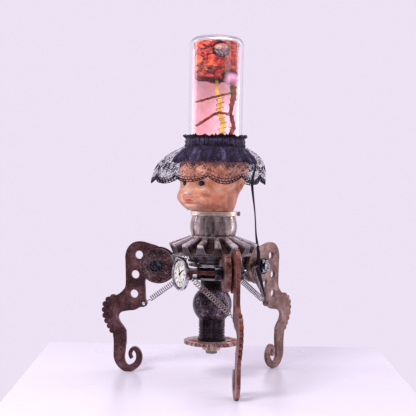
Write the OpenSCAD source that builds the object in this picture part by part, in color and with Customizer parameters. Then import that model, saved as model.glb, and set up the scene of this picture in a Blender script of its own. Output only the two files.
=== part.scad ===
// Fortune teller figure: a doll's head under a jar, on a turned column with three sprung plate legs.
// Millimetres, +Z up, feet on z = 0. Every leg is drawn once, in its own plane, and turned into place.

/* [Legs] */
// Direction of the left leg, seen from above
left_angle = 170; // [160:1:180]
// Direction of the front leg, seen from above
front_angle = -84; // [-95:1:-75]
// Direction of the right leg, seen from above
right_angle = 50; // [40:1:60]
// Thickness of the leg plates
plate_t = 4; // [3:0.5:5]
// Length of the arms between the hub and the lug discs
arm_reach = 19; // [17:0.5:22]
// Height of the leg pivots
pivot_z = 117.7; // [114:0.1:119]
// Radius of each leg's round pivot end
pivot_end_r = 20; // [18:0.5:21]
// Diameter of the three holes in each leg
leg_hole_d = 9; // [6:0.5:10]
// Radius of the round lug discs
lug_disc_r = 18.8; // [16:0.1:20]
// Thickness of the round lug discs
lug_disc_t = 6; // [4:0.5:6]
// Thickness of the spacer between disc and leg
leg_spacer_t = 2.5; // [2:0.1:3]
// Diameter of the pivot bolts
bolt_d = 8; // [6:1:8]

/* [Springs] */
// Curls in each leg spring
spring_curls = 15; // [10:1:20]
// Wire diameter of the leg springs
spring_wire = 1.2; // [0.8:0.1:1.4]
// Mean diameter of the spring coils
spring_coil_d = 5.4; // [4.8:0.1:6]

/* [Column] */
// Diameter of the centre rod
rod_d = 12; // [10:1:12]
// Lowest point of the centre rod
rod_bottom = 27.4; // [25:0.1:30]
// Height of the flange nut under the sprocket
flange_nut_h = 7; // [6:0.5:8]
// Outer radius of the sprocket
sprocket_r = 29.2; // [26:0.2:31]
// Thickness of the sprocket
sprocket_t = 3.5; // [2.5:0.5:4]
// Teeth of the sprocket
sprocket_teeth = 36; // [24:1:40]
// Height of the base flange
base_h = 4; // [3:0.5:7]
// Radius of the base flange
base_r = 15; // [14.5:0.1:18]
// Radius of the grooved neck under the ball
neck_r = 13.9; // [12:0.1:15]
// Length of the grooved neck
neck_h = 18.6; // [16:0.1:24]
// Radius of the ball
ball_r = 20.8; // [18:0.1:22]
// Length of the dark barrel above the ball
barrel_h = 11.7; // [10:0.1:14]

/* [Hub] */
// Radius of the round hub plates
hub_r = 24.2; // [22:0.1:25]
// Thickness of the lower plate
lower_plate_t = 2; // [1.5:0.5:3]
// Thickness of the dark spacers
hub_spacer_t = 3.6; // [3:0.1:4]
// Thickness of the spider plate and its arms
spider_t = 4; // [3:0.5:5]
// Thickness of the upper flange
upper_flange_t = 3; // [2:0.5:4]
// Height of the grooved collar
collar_h = 9.1; // [8:0.1:12]
// Radius of the grooved collar
collar_r = 26.6; // [25:0.1:28]

/* [Gear and cup] */
// Teeth of the bevel gear
gear_teeth = 16; // [12:1:18]
// Outer radius of the bevel gear
gear_r = 47.1; // [44:0.1:50]
// Height of the bevel gear
gear_h = 20; // [18:0.1:22]
// Height of the steel cup
cup_h = 21.2; // [18:0.1:23]
// Widest radius of the steel cup
cup_r = 24.9; // [24:0.1:26]
// Height of the neck ring
ring_h = 5.2; // [4:0.1:6]

/* [Dial] */
// Radius of the dial case
dial_r = 17.5; // [16:0.5:19]
// Thickness of the dial case
dial_t = 4.5; // [4:0.5:5]
// Direction in which the dial hangs, seen from above
dial_angle = 208; // [202:1:214]

/* [Head and jar] */
// Direction of the face, seen from above
face_angle = 228; // [200:1:260]
// Radius of the doll's neck
doll_neck_r = 18.6; // [17:0.1:19]
// Outer radius of the jar
jar_r = 28.6; // [27:0.1:29]
// Wall of the jar
jar_wall = 3.4; // [2.5:0.1:4]
// Height of the jar
jar_h = 123.4; // [100:0.1:130]
// Radius of the lace veil at its hem
veil_hem_r = 58.5; // [52:0.5:62]

/* [Hidden] */
$fn = 64;
fit = 0.05;
run = 0.1;
clear = 0.3;
soft_gap = 0.35;

// Heights of the column, stacked from the sprocket up
nut_z = rod_bottom + 3.2;
sprocket_z = nut_z + flange_nut_h;
base_z = sprocket_z + sprocket_t;
neck_z = base_z + base_h;
ball_low_z = neck_z + neck_h;
ball_half = sqrt(ball_r * ball_r - neck_r * neck_r);
ball_z = ball_low_z + ball_half;
barrel_z = ball_z + ball_half;
lower_plate_z = barrel_z + barrel_h;
low_spacer_z = lower_plate_z + lower_plate_t;
spider_z = low_spacer_z + hub_spacer_t;
high_spacer_z = spider_z + spider_t;
upper_flange_z = high_spacer_z + hub_spacer_t;
collar_z = upper_flange_z + upper_flange_t;
gear_z = collar_z + collar_h;
cup_z = gear_z + gear_h;
cup_floor = 3.3;
ring_z = cup_z + cup_h;

// Distance of each leg's pivot from the column axis
pivot_r = hub_r + arm_reach + lug_disc_r;

// Stack of each leg pivot along its bolt, from the disc's outer face towards the nut
disc_face = -3.2;
disc_back = disc_face - lug_disc_t;
plate_face = disc_back - leg_spacer_t;
plate_back = plate_face - plate_t;
washer_t = 1.6;
nut_t = 6.5;
bolt_head_h = bolt_d;
bolt_head_r = bolt_d * 13 / 16;
bolt_end = plate_back - washer_t - nut_t - 2.2;

// Leg outline, as radius from the column axis and height, shifted with the pivot
drawn_pivot = [62, 117.7];
leg_shift = [pivot_r - drawn_pivot[0], 0];
limb_points = [
    [56, 132], [63, 138], [72, 140.8], [79, 142.6], [85, 143], [90, 141.8], [94, 139],
    [97.6, 134], [99.4, 127.4], [99.2, 121], [98.6, 107], [98.6, 95], [100.6, 90], [106.5, 84.6],
    [113, 82], [119, 78.6], [122.5, 72.6], [123, 65], [121, 57.6], [117.4, 50.6], [113.4, 43],
    [104, 40], [97.2, 43], [100, 48.8], [103.9, 53.6], [106.2, 58.5], [105.2, 62.8],
    [101.5, 65.4], [94, 67], [87.6, 67.9], [81.4, 71.2], [77.6, 71.4], [74.8, 73.4],
    [74.2, 76.4], [75.6, 79.6], [76.2, 85], [76.4, 92], [76.2, 102], [66, 112], [58, 120]
];
scallops = [[112.8, 80.9, 3.2], [118, 78, 3.2], [121.3, 73, 3.2], [122, 66.8, 3.2], [121.2, 60.6, 3.2],
    [119, 54.8, 3.2], [116, 49.4, 3.2], [113.2, 44.4, 3]];
shin_line = [
    [105, 44, 15], [104, 34, 14.2], [104.4, 24, 13], [104.6, 15, 12], [101.5, 7.6, 9.6],
    [95, 3.5, 7.6], [87.6, 6, 7.2], [83, 11.6, 6.8], [82.2, 18, 6.4], [84.6, 23.6, 5.4],
    [88.4, 25.4, 4.6], [91.6, 22.6, 4], [92.2, 18, 3.6], [90.2, 14.6, 3.2]
];
leg_holes = [[84, 128.2], [87.8, 106.7], [88.8, 85.5]];
spring_lug = [78.2, 75];

// Corners of the three legs set the middle of the footprint, which is the origin
knee_tip = max([for (s = scallops) s[0] + s[2]]) + leg_shift[0];
function in_plan(angle, r, t) = [r * cos(angle) - t * sin(angle), r * sin(angle) + t * cos(angle)];
left_tip = in_plan(left_angle, knee_tip, plate_back);
right_low = in_plan(right_angle, knee_tip, plate_back);
right_far = in_plan(right_angle, knee_tip, plate_face);
front_tip = in_plan(front_angle, knee_tip, -plate_face);
axis_x = -(left_tip[0] + right_low[0]) / 2;
axis_y = -(front_tip[1] + right_far[1]) / 2;

function unit(v) = v / norm(v);

// Point on a smooth curve through four control points
function on_curve(a, b, c, d, s) =
    0.5 * (2 * b + (c - a) * s + (2 * a - 5 * b + 4 * c - d) * s * s + (3 * b - a - 3 * c + d) * s * s * s);

function closed_curve(p, steps) =
    let (n = len(p))
    [for (i = [0 : n - 1], k = [0 : steps - 1])
        on_curve(p[(i + n - 1) % n], p[i], p[(i + 1) % n], p[(i + 2) % n], k / steps)];

function open_curve(p, steps) =
    let (n = len(p) - 1)
    concat(
        [for (i = [0 : n - 1], k = [0 : steps - 1])
            on_curve(p[max(i - 1, 0)], p[i], p[i + 1], p[min(i + 2, n)], k / steps)],
        [p[n]]);

// Flat band along a line of [x, y, width] points
function band_outline(line) =
    let (
        n = len(line) - 1,
        side = [for (i = [0 : n])
            let (d = unit([line[min(i + 1, n)][0] - line[max(i - 1, 0)][0],
                           line[min(i + 1, n)][1] - line[max(i - 1, 0)][1]]))
            [-d[1], d[0]] * line[i][2] / 2],
        middle = [for (q = line) [q[0], q[1]]])
    concat([for (i = [0 : n]) middle[i] + side[i]], [for (i = [n : -1 : 0]) middle[i] - side[i]]);

// Direction of a path at one of its points
function heading(p, i) = unit(p[min(i + 1, len(p) - 1)] - p[max(i - 1, 0)]);
function square_to(u, d) = unit(u - (u * d) * d);

// Frames carried along a path without twist
function carried(p) =
    let (d0 = heading(p, 0), first = square_to(abs(d0[2]) < 0.8 ? [0, 0, 1] : [1, 0, 0], d0))
    [for (i = 0, u = first; i < len(p);
          i = i + 1, u = square_to(u, heading(p, min(i, len(p) - 1)))) u];

// Round wire along a path, as one closed tube
module wire(p, r, sides = 6) {
    frames = carried(p);
    n = len(p);
    radius = is_list(r) ? r : [for (i = [0 : n - 1]) r];
    rings = [for (i = [0 : n - 1], k = [0 : sides - 1])
        let (u = frames[i], v = cross(heading(p, i), u), a = 360 * k / sides)
        p[i] + radius[i] * (cos(a) * u + sin(a) * v)];
    skin = [for (i = [0 : n - 2], k = [0 : sides - 1], half = [0, 1])
        let (a = i * sides + k, b = i * sides + (k + 1) % sides, c = a + sides, d = b + sides)
        half == 0 ? [a, c, b] : [b, c, d]];
    ends = concat([for (k = [1 : sides - 2]) [0, k, k + 1]],
                  [for (k = [1 : sides - 2]) let (s = (n - 1) * sides) [s, s + k + 1, s + k]]);
    polyhedron(concat(rings), concat(skin, ends));
}

// Closed shell between an outer and an inner grid of rings, each grid a list of rings from bottom to top
module ring_shell(outer, inner) {
    rows = len(outer);
    cols = len(outer[0]);
    points = concat([for (row = outer, q = row) q], [for (row = inner, q = row) q]);
    base = rows * cols;
    function at(s, j, i) = s * base + j * cols + i % cols;
    walls = [for (j = [0 : rows - 2], i = [0 : cols - 1], half = [0, 1])
        half == 0 ? [at(0, j, i), at(0, j + 1, i), at(0, j, i + 1)]
                  : [at(0, j, i + 1), at(0, j + 1, i), at(0, j + 1, i + 1)]];
    backs = [for (j = [0 : rows - 2], i = [0 : cols - 1], half = [0, 1])
        half == 0 ? [at(1, j, i), at(1, j, i + 1), at(1, j + 1, i)]
                  : [at(1, j, i + 1), at(1, j + 1, i + 1), at(1, j + 1, i)]];
    top = rows - 1;
    rims = [for (i = [0 : cols - 1], f = [0 : 3])
        f == 0 ? [at(0, 0, i), at(0, 0, i + 1), at(1, 0, i)]
        : f == 1 ? [at(0, 0, i + 1), at(1, 0, i + 1), at(1, 0, i)]
        : f == 2 ? [at(0, top, i), at(1, top, i), at(0, top, i + 1)]
        : [at(0, top, i + 1), at(1, top, i), at(1, top, i + 1)]];
    polyhedron(points, concat(walls, backs, rims));
}

// Solid lofted through a list of rings, closed by a fan at each end
module ring_solid(rings) {
    rows = len(rings);
    cols = len(rings[0]);
    function middle(row) = [for (c = [0 : 2]) let (v = [for (q = row) q[c]]) v * [for (q = row) 1] / cols];
    points = concat([for (row = rings, q = row) q], [middle(rings[0]), middle(rings[rows - 1])]);
    function at(j, i) = j * cols + i % cols;
    walls = [for (j = [0 : rows - 2], i = [0 : cols - 1], half = [0, 1])
        half == 0 ? [at(j, i), at(j + 1, i), at(j, i + 1)] : [at(j, i + 1), at(j + 1, i), at(j + 1, i + 1)]];
    caps = [for (i = [0 : cols - 1], f = [0, 1])
        f == 0 ? [rows * cols, at(0, i), at(0, i + 1)] : [rows * cols + 1, at(rows - 1, i + 1), at(rows - 1, i)]];
    polyhedron(points, concat(walls, caps));
}

module on_axis() translate([axis_x, axis_y, 0]) children();

// Plain ring about the column axis
module disc(z, h, r, bore_r) {
    translate([0, 0, z]) difference() {
        cylinder(h = h, r = r);
        translate([0, 0, -1]) cylinder(h = h + 2, r = bore_r);
    }
}

// Turned piece about the column axis, with the rod's bore
module turned(profile, bore_r = rod_d / 2 + fit) {
    rotate_extrude($fn = 96) difference() {
        polygon(profile);
        translate([-1, -500]) square([bore_r + 1, 1000]);
    }
}

// Frame of one leg: X outwards, Y across towards its disc, the plate on the -Y side
module at_leg(angle, flip) {
    on_axis() rotate([0, 0, angle]) mirror([0, flip ? 1 : 0, 0]) children();
}

module at_each_leg() {
    at_leg(left_angle, false) children();
    at_leg(front_angle, true) children();
    at_leg(right_angle, false) children();
}

// Cylinder along the leg's bolt between two places across it
module across(y_a, y_b, r, facets = 48) {
    translate([pivot_r, max(y_a, y_b), pivot_z]) rotate([90, 0, 0])
        cylinder(h = abs(y_a - y_b), r = r, $fn = facets);
}

module center_rod() color("#8f8a80") on_axis()
    translate([0, 0, rod_bottom]) cylinder(h = plug_top - 2 - rod_bottom, r = rod_d / 2);

module flange_nut() color("#c0a070") on_axis() difference() {
    union() {
        translate([0, 0, nut_z]) cylinder(h = flange_nut_h - 1.6, r = 9.4, $fn = 6);
        translate([0, 0, nut_z + flange_nut_h - 1.6]) cylinder(h = 1.6, r = 10.9);
    }
    translate([0, 0, nut_z - 1]) cylinder(h = flange_nut_h + 2, r = rod_d / 2 + fit);
}

module sprocket() color("#6b5a52") on_axis() translate([0, 0, sprocket_z]) {
    tooth_deep = 2.6;
    root_half = 2.4;
    tip_half = 1.3;
    root_r = sprocket_r - tooth_deep;
    linear_extrude(sprocket_t) difference() {
        union() {
            circle(r = root_r, $fn = 96);
            for (k = [0 : sprocket_teeth - 1]) rotate(360 * k / sprocket_teeth)
                polygon([[root_r - 1, -root_half], [sprocket_r, -tip_half], [sprocket_r, tip_half], [root_r - 1, root_half]]);
        }
        circle(r = rod_d / 2 + fit);
        for (k = [0 : 5]) rotate(60 * k + 30) translate([root_r - 6, 0]) circle(r = 2.6, $fn = 24);
    }
}

module base_flange() color("#9a958c") on_axis() turned([
    [0, base_z], [base_r - 0.8, base_z], [base_r, base_z + 0.8], [base_r, base_z + 3],
    [base_r - 1.4, base_z + base_h], [0, base_z + base_h]]);

module column_neck() color("#a7a198") on_axis() {
    groove = 0.9;
    grooves = [3, 6, 9];
    turned(concat(
        [[0, neck_z], [neck_r, neck_z]],
        [for (g = grooves, q = [[0, -0.8], [groove, -0.5], [groove, 0.5], [0, 0.8]])
            [neck_r - q[0], neck_z + g + q[1]]],
        [[neck_r, ball_low_z], [0, ball_low_z]]));
}

module column_ball() color("#4d423d") on_axis() difference() {
    intersection() {
        translate([0, 0, ball_z]) sphere(r = ball_r, $fn = 96);
        translate([0, 0, ball_low_z]) cylinder(h = 2 * ball_half, r = ball_r + 1);
    }
    translate([0, 0, ball_low_z - 1]) cylinder(h = 2 * ball_half + 2, r = rod_d / 2 + fit);
}

module column_barrel() color("#2e2827") on_axis() turned([
    [0, barrel_z], [neck_r - 0.1, barrel_z], [neck_r - 0.1, barrel_z + 2.4], [neck_r - 1, barrel_z + 3],
    [neck_r - 1, barrel_z + barrel_h - 2], [neck_r + 1, barrel_z + barrel_h - 1],
    [neck_r + 1, barrel_z + barrel_h], [0, barrel_z + barrel_h]]);

module lower_plate() color("#b5b0a8") on_axis() disc(lower_plate_z, lower_plate_t, hub_r, rod_d / 2 + fit);

module hub_spacers() color("#1f1b1c") on_axis() for (z = [low_spacer_z, high_spacer_z])
    disc(z, hub_spacer_t, hub_r * 0.7, rod_d / 2 + fit);

// Spring tabs under the spider, one for each leg, as [distance out, distance across, turn of the tab]
tab_t = 3;
tab_round_r = 4;
plate_mid = (plate_face + plate_back) / 2;
tab_z = spider_z - 2.6;
hook_hole_r = 1.9;
front_tab_turn = 64;
tab_left = [hub_r + 6.8, plate_mid, 0];
tab_front = [(hub_r + 4.4) * cos(front_tab_turn), (hub_r + 4.4) * sin(front_tab_turn), front_tab_turn - 90];
tab_right = [hub_r + 3.8, -8, 0];

module spring_tab(tab, bridge) translate([tab[0], tab[1], 0]) rotate([0, 0, tab[2]]) difference() {
    union() {
        translate([-tab_round_r, -tab_t / 2, tab_z]) cube([2 * tab_round_r, tab_t, spider_z - tab_z + 1]);
        translate([-tab_round_r, bridge[0], spider_z])
            cube([2 * tab_round_r, bridge[1] - bridge[0], spider_t]);
        translate([0, tab_t / 2, tab_z]) rotate([90, 0, 0]) cylinder(h = tab_t, r = tab_round_r, $fn = 32);
    }
    translate([0, tab_t, tab_z]) rotate([90, 0, 0]) cylinder(h = 2 * tab_t, r = hook_hole_r, $fn = 32);
}

module spider() color("#7a4a35") {
    on_axis() disc(spider_z, spider_t, hub_r, rod_d / 2 + fit);
    at_each_leg() difference() {
        translate([hub_r - 4, disc_back, spider_z])
            cube([pivot_r - lug_disc_r - hub_r + 6, lug_disc_t, spider_t]);
        across(disc_face + 1, disc_back - 1, lug_disc_r + fit);
    }
    at_leg(left_angle, false) spring_tab(tab_left, [-tab_t / 2, disc_face - plate_mid]);
    at_leg(front_angle, true) spring_tab(tab_front, [-tab_t / 2 - 9, tab_t / 2]);
    at_leg(right_angle, false) spring_tab(tab_right, [-tab_t / 2, tab_t / 2]);
}

module upper_flange() color("#c9c5bd") on_axis() turned([
    [0, upper_flange_z], [hub_r + 0.5, upper_flange_z], [hub_r + 1.2, upper_flange_z + 0.7],
    [hub_r + 1.2, upper_flange_z + upper_flange_t], [0, upper_flange_z + upper_flange_t]]);

module grooved_collar() color("#85807a") on_axis() {
    groove = 1.6;
    step = 2;
    pitch = (collar_h - step) / 2;
    turned(concat(
        [[0, collar_z], [hub_r * 0.8, collar_z], [hub_r * 0.8, collar_z + step]],
        [for (g = [0, 1], q = [[0, 0], [0, 0.6], [groove, 0.7], [groove, 0.9]])
            [collar_r - q[0] - 0.5 * g, collar_z + step + pitch * (g + q[1])]],
        [[collar_r - 2, gear_z], [0, gear_z]]));
}

// Bevel gear: a cone with straight teeth that run towards its apex
gear_heel_z = gear_z + 11.9;
gear_rim_h = 3;
gear_toe_r = 25.4;
gear_root_r = gear_r - 4;
gear_core_r = 22.5;

module bevel_tooth() {
    // Corners as [radius, half width, height]: toe land, heel land, heel foot, toe foot
    land_toe = [gear_toe_r, 1.7, gear_z + gear_h];
    land_heel = [gear_r, 2.9, gear_heel_z];
    foot_heel = [gear_root_r - 0.4, 5, gear_z + gear_rim_h - 1];
    foot_toe = [gear_core_r - 1, 2.9, gear_z + gear_rim_h + 10.6];
    corners = [for (side = [-1, 1], c = [land_toe, land_heel, foot_heel, foot_toe])
        [c[0], side * c[1], c[2]]];
    polyhedron(corners, [
        [0, 1, 2], [0, 2, 3], [4, 6, 5], [4, 7, 6],
        [0, 4, 5], [0, 5, 1], [1, 5, 6], [1, 6, 2], [2, 6, 7], [2, 7, 3], [3, 7, 4], [3, 4, 0]]);
}

module bevel_gear() color("#6f6a68") on_axis() {
    difference() {
        union() {
            rotate_extrude($fn = 96) polygon([
                [0, gear_z], [gear_root_r - 1.4, gear_z], [gear_root_r, gear_z + 0.8],
                [gear_root_r, gear_z + gear_rim_h], [gear_core_r, gear_z + gear_rim_h + 11.6],
                [gear_core_r, gear_z + gear_h], [0, gear_z + gear_h]]);
            for (k = [0 : gear_teeth - 1]) rotate([0, 0, 360 * (k + 0.25) / gear_teeth]) bevel_tooth();
        }
        translate([0, 0, gear_z - 1]) cylinder(h = gear_h + 2, r = rod_d / 2 + fit);
    }
}

module steel_cup() color("#9b9087") on_axis() {
    lip_r = cup_r - 1.9;
    steps = 10;
    bulge = [for (k = [0 : steps]) let (s = k / steps)
        [lip_r + (cup_r - lip_r) * sin(180 * pow(s, 0.9)), cup_z + cup_h * s]];
    difference() {
        rotate_extrude($fn = 96) polygon(concat([[0, cup_z]], bulge, [[0, cup_z + cup_h]]));
        translate([0, 0, cup_z + cup_floor]) cylinder(h = cup_h, r = lip_r - 2);
        translate([0, 0, cup_z - 1]) cylinder(h = 10, r = rod_d / 2 + fit);
    }
}

rod_nut_z = cup_z + cup_floor;
rod_nut_h = 10;
thrust_z = rod_nut_z + rod_nut_h;
thrust_t = 1.5;
plug_z = thrust_z + thrust_t + run;
plug_top = ring_z + 12;
plug_r = doll_neck_r - 2.1;

module rod_nut() color("#8f8a80") on_axis() difference() {
    translate([0, 0, rod_nut_z]) cylinder(h = rod_nut_h, r = rod_d * 0.85, $fn = 6);
    translate([0, 0, rod_nut_z - 1]) cylinder(h = rod_nut_h + 2, r = rod_d / 2 + fit);
}

module thrust_washer() color("#c9b27a") on_axis() disc(thrust_z, thrust_t, rod_d * 0.95, rod_d / 2 + fit);

module neck_ring() color("#c8b98f") on_axis() difference() {
    turned([
        [0, ring_z], [cup_r - 0.8, ring_z], [cup_r, ring_z + 0.9], [cup_r, ring_z + 2],
        [cup_r - 0.6, ring_z + 2.5], [cup_r, ring_z + 3], [cup_r, ring_z + ring_h - 0.8],
        [cup_r - 0.8, ring_z + ring_h], [0, ring_z + ring_h]], doll_neck_r + 0.5);
    translate([doll_neck_r, 0, ring_z + ring_h / 2]) rotate([0, 90, 0]) cylinder(h = 20, r = 1.25 + fit, $fn = 24);
}

module ring_screw() color("#b8b4ac") on_axis() translate([0, 0, ring_z + ring_h / 2]) rotate([0, 90, 0]) {
    translate([0, 0, doll_neck_r + 0.9]) cylinder(h = cup_r - doll_neck_r, r = 1.25, $fn = 24);
    difference() {
        translate([0, 0, cup_r]) cylinder(h = 3, r = 2.4, $fn = 32);
        translate([0, 0, cup_r + 1.8]) cylinder(h = 2, r = 1.2, $fn = 6);
    }
}

// Cast bracket on each arm: stands on the spider and backs the rim of the lug disc
module arm_brackets() color("#b9b6b2") at_each_leg() {
    thick = 8;
    middle = (disc_face + disc_back) / 2;
    low = high_spacer_z;
    foot = hub_r + 3.4;
    back = pivot_r - 12;
    translate([0, middle + thick / 2, 0]) rotate([90, 0, 0]) difference() {
        linear_extrude(thick) difference() {
            polygon([[foot, low], [back, low], [back, low + 13], [back - 6, low + 14.4], [foot + 8, low + 12.4],
                     [foot + 2, low + 6], [foot, low + 4]]);
            translate([pivot_r, pivot_z]) circle(r = lug_disc_r + fit, $fn = 96);
            translate([foot + 0.28 * arm_reach, low + 4.6]) circle(r = 2.6, $fn = 32);
            translate([foot + 0.6 * arm_reach, low + 9.4]) circle(r = 2.4, $fn = 32);
        }
    }
}

module lug_disc(angle, flip) at_leg(angle, flip) difference() {
    union() {
        across(disc_face - 0.8, disc_back, lug_disc_r, 96);
        across(disc_face, disc_face - 0.8, lug_disc_r - 0.8, 96);
    }
    across(disc_face + 1, disc_back - 1, bolt_d / 2 + fit);
}

module lug_disc_left() color("#4a3b35") lug_disc(left_angle, false);
module lug_disc_front() color("#7a4c3a") lug_disc(front_angle, true);
module lug_disc_right() color("#5a4740") lug_disc(right_angle, false);

// Slice of the leg plate's thickness, thicker on both sides by a margin for a cut
module leg_slice(margin = 0) translate([0, plate_face - run + margin, 0]) rotate([90, 0, 0])
    linear_extrude(plate_t - 2 * run + 2 * margin) children();

// A leg: round pivot end, limb, scalloped knee, shin and foot scroll
module leg(angle, flip) at_leg(angle, flip) difference() {
    union() {
        leg_slice() translate([pivot_r, pivot_z]) circle(r = pivot_end_r, $fn = 96);
        leg_slice() translate(leg_shift) polygon(closed_curve(limb_points, 4));
        for (s = scallops) leg_slice() translate(leg_shift + [s[0], s[1]]) circle(r = s[2], $fn = 40);
        leg_slice() translate(leg_shift) polygon(band_outline(open_curve(shin_line, 5)));
    }
    for (h = leg_holes) leg_slice(1) translate(leg_shift + h) circle(d = leg_hole_d);
    leg_slice(1) translate(leg_shift + spring_lug) circle(r = hook_hole_r, $fn = 32);
    leg_slice(1) translate([pivot_r, pivot_z]) circle(d = bolt_d + 2 * fit);
    leg_slice(1) translate([0, -20]) square([200, 20]);
}

module leg_left() color("#4f2f2d") leg(left_angle, false);
module leg_front() color("#8a4636") leg(front_angle, true);
module leg_right() color("#9a8078") leg(right_angle, false);

module pivot_bolts() color("#8d8b92") at_each_leg() difference() {
    union() {
        across(disc_face + bolt_head_h, disc_face, bolt_head_r);
        across(disc_face, bolt_end, bolt_d / 2);
    }
    across(disc_face + bolt_head_h + 1, disc_face + bolt_head_h / 2, bolt_d * 0.43, 6);
}

module pivot_spacers() color("#2a2425") at_each_leg() difference() {
    across(disc_back, plate_face, bolt_d * 1.1);
    across(disc_back + 1, plate_face - 1, bolt_d / 2 + fit);
}

module pivot_washers() color("#9a9691") at_each_leg() difference() {
    across(plate_back, plate_back - washer_t, bolt_d);
    across(plate_back + 1, plate_back - washer_t - 1, bolt_d / 2 + fit);
}

module pivot_nuts() color("#7f7b78") at_each_leg() difference() {
    across(plate_back - washer_t, plate_back - washer_t - nut_t, nut_corner_r, 6);
    across(plate_back, bolt_end - 1, bolt_d / 2 + fit);
}

// Leg spring: hook through the hub's tab, coil, hook through the leg's lug
hook_r = 3.3;

// Hook at a hole, in the plane of the hole's axis and the spring, as points from its free end to the coil
function spring_hook(at, axis, d) =
    let (
        side = (axis * d < 0 ? -1 : 1) * axis,
        e = square_to(d, axis),
        middle = at + e * hook_r,
        away = square_to(side, d))
    concat(
        [for (k = [-6 : 5]) middle - e * hook_r * cos(k * 25) + side * hook_r * sin(k * 25)],
        [middle + d * (hook_r + 0.1) + away * 0.2, middle + d * (hook_r + 1.2) + away * 1.2]);

function spring_path(tab) =
    let (
        a = [tab[0], tab[1], tab_z],
        b = [spring_lug[0] + leg_shift[0], plate_mid, spring_lug[1]],
        along = unit(b - a),
        axis_a = [-sin(tab[2]), cos(tab[2]), 0],
        axis_b = [0, 1, 0],
        side = square_to(axis_b, along),
        up = cross(along, side),
        r = spring_coil_d / 2,
        rings = 8,
        margin = 2 * hook_r + 2.4,
        length = norm(b - a) - 2 * margin,
        hook_a = spring_hook(a, axis_a, along),
        hook_b = spring_hook(b, axis_b, -along),
        coil = [for (k = [0 : rings * spring_curls]) let (t = 360 * k / rings)
            a + along * (margin + length * k / (rings * spring_curls)) + r * (cos(t) * side + sin(t) * up)])
    concat(hook_a, coil, [for (i = [len(hook_b) - 1 : -1 : 0]) hook_b[i]]);

module leg_spring(angle, flip, tab) at_leg(angle, flip) wire(spring_path(tab), spring_wire / 2);

module spring_left() color("#8c8790") leg_spring(left_angle, false, tab_left);
module spring_front() color("#6d5a66") leg_spring(front_angle, true, tab_front);
module spring_right() color("#b9b5bb") leg_spring(right_angle, false, tab_right);

// Least distance between stretches of a path that are more than half a curl apart, less the wire
function self_gap(p, wire_d) = min([for (i = [0 : len(p) - 1], j = [i + 4 : 1 : min(i + 14, len(p) - 1)])
    norm(p[i] - p[j])]) - wire_d;
echo(spring_self_gap = [for (tab = [tab_left, tab_front, tab_right]) self_gap(spring_path(tab), spring_wire)]);

// Dial: hangs on a wire hook behind its top, under the edge of the gear
dial_hang_r = 32.5;
dial_gap = 2;
dial_wire_r = 0.5;
dial_ring_r = 1.9;
dial_hook_z = gear_z - dial_ring_r - 0.6;
dial_hang_z = dial_hook_z - dial_ring_r + 2 * dial_wire_r + run;
dial_back = dial_hang_r + dial_ring_r + dial_wire_r + 3 * clear;
dial_mid_z = gear_z - dial_gap - dial_r;

module at_dial() on_axis() rotate([0, 0, dial_angle]) children();

module dial_hook() color("#3a3436") at_dial() {
    translate([dial_hang_r, 0, dial_hook_z]) rotate([90, 0, 0])
        rotate_extrude($fn = 32) translate([dial_ring_r, 0]) circle(r = dial_wire_r, $fn = 16);
    translate([dial_hang_r, 0, dial_hook_z + dial_ring_r - 0.1])
        cylinder(h = gear_z - dial_hook_z - dial_ring_r + 0.1, r = dial_wire_r, $fn = 16);
}

module dial_bow() color("#8a8588") at_dial() {
    translate([dial_hang_r, 0, dial_hang_z - dial_ring_r]) rotate([0, 90, 0])
        rotate_extrude($fn = 32) translate([dial_ring_r, 0]) circle(r = dial_wire_r, $fn = 16);
    translate([dial_hang_r, 0, dial_hang_z - 2 * dial_ring_r]) rotate([0, 90, 0])
        cylinder(h = dial_back - dial_hang_r, r = dial_wire_r, $fn = 16);
}

// Placed with the dial's axis along +X at its middle
module at_dial_middle() at_dial() translate([dial_back, 0, dial_mid_z]) rotate([0, 90, 0]) children();

module dial_case() color("#c3bfc6") at_dial_middle() rotate_extrude($fn = 96) polygon([
    [0, 0], [dial_r - 1.2, 0], [dial_r, 1.2], [dial_r, dial_t - 1], [dial_r - 0.8, dial_t],
    [dial_r - 2, dial_t], [dial_r - 2.6, dial_t - 2.2], [0, dial_t - 2.2]]);

module dial_face() color("#ece8df") at_dial_middle()
    translate([0, 0, dial_t - 2.2]) cylinder(h = 0.7, r = dial_r - 2.8, $fn = 96);

module dial_hands() color("#1b1a20") at_dial_middle() translate([0, 0, dial_t - 1.5]) {
    cylinder(h = 1, r = 0.9, $fn = 24);
    hand_t = 0.4;
    for (hand = [[125, 8.5, 1.3], [200, 12.2, 0.9]]) rotate([0, 0, hand[0]]) linear_extrude(hand_t)
        polygon([[-2.4, -hand[2] * 0.4], [-2.4, hand[2] * 0.4], [0, hand[2] / 2], [hand[1] * 0.7, hand[2] / 2],
                 [hand[1], 0], [hand[1] * 0.7, -hand[2] / 2], [0, -hand[2] / 2]]);
}

// Doll's head
chin_z = ring_z + 2.6;
crown_z = ring_z + 67;
head_h = crown_z - chin_z;
seat_z = crown_z - 3;

module at_head() on_axis() rotate([0, 0, face_angle]) children();

function bump(x, size) = exp(-(x * x) / (size * size));

// Angle to the face's middle, from -180 to 180
function from_face(a) = a > 180 ? a - 360 : a;

// Radius of the head on the face's side and at the back, over its height as a share from chin to crown
face_side = [[0, 27], [0.05, 29.5], [0.1, 33.5], [0.17, 37.6], [0.24, 40], [0.3, 40.2], [0.38, 38.2],
    [0.46, 37], [0.56, 37.6], [0.7, 38], [0.85, 37.2], [1, 34.5]];
back_side = [[0, 18], [0.15, 18.6], [0.25, 19.4], [0.33, 22.5], [0.42, 28], [0.52, 32], [0.65, 34.6],
    [0.8, 35.2], [1, 33.4]];
eye_level = 0.484;
eye_turn = 19.5;

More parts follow.
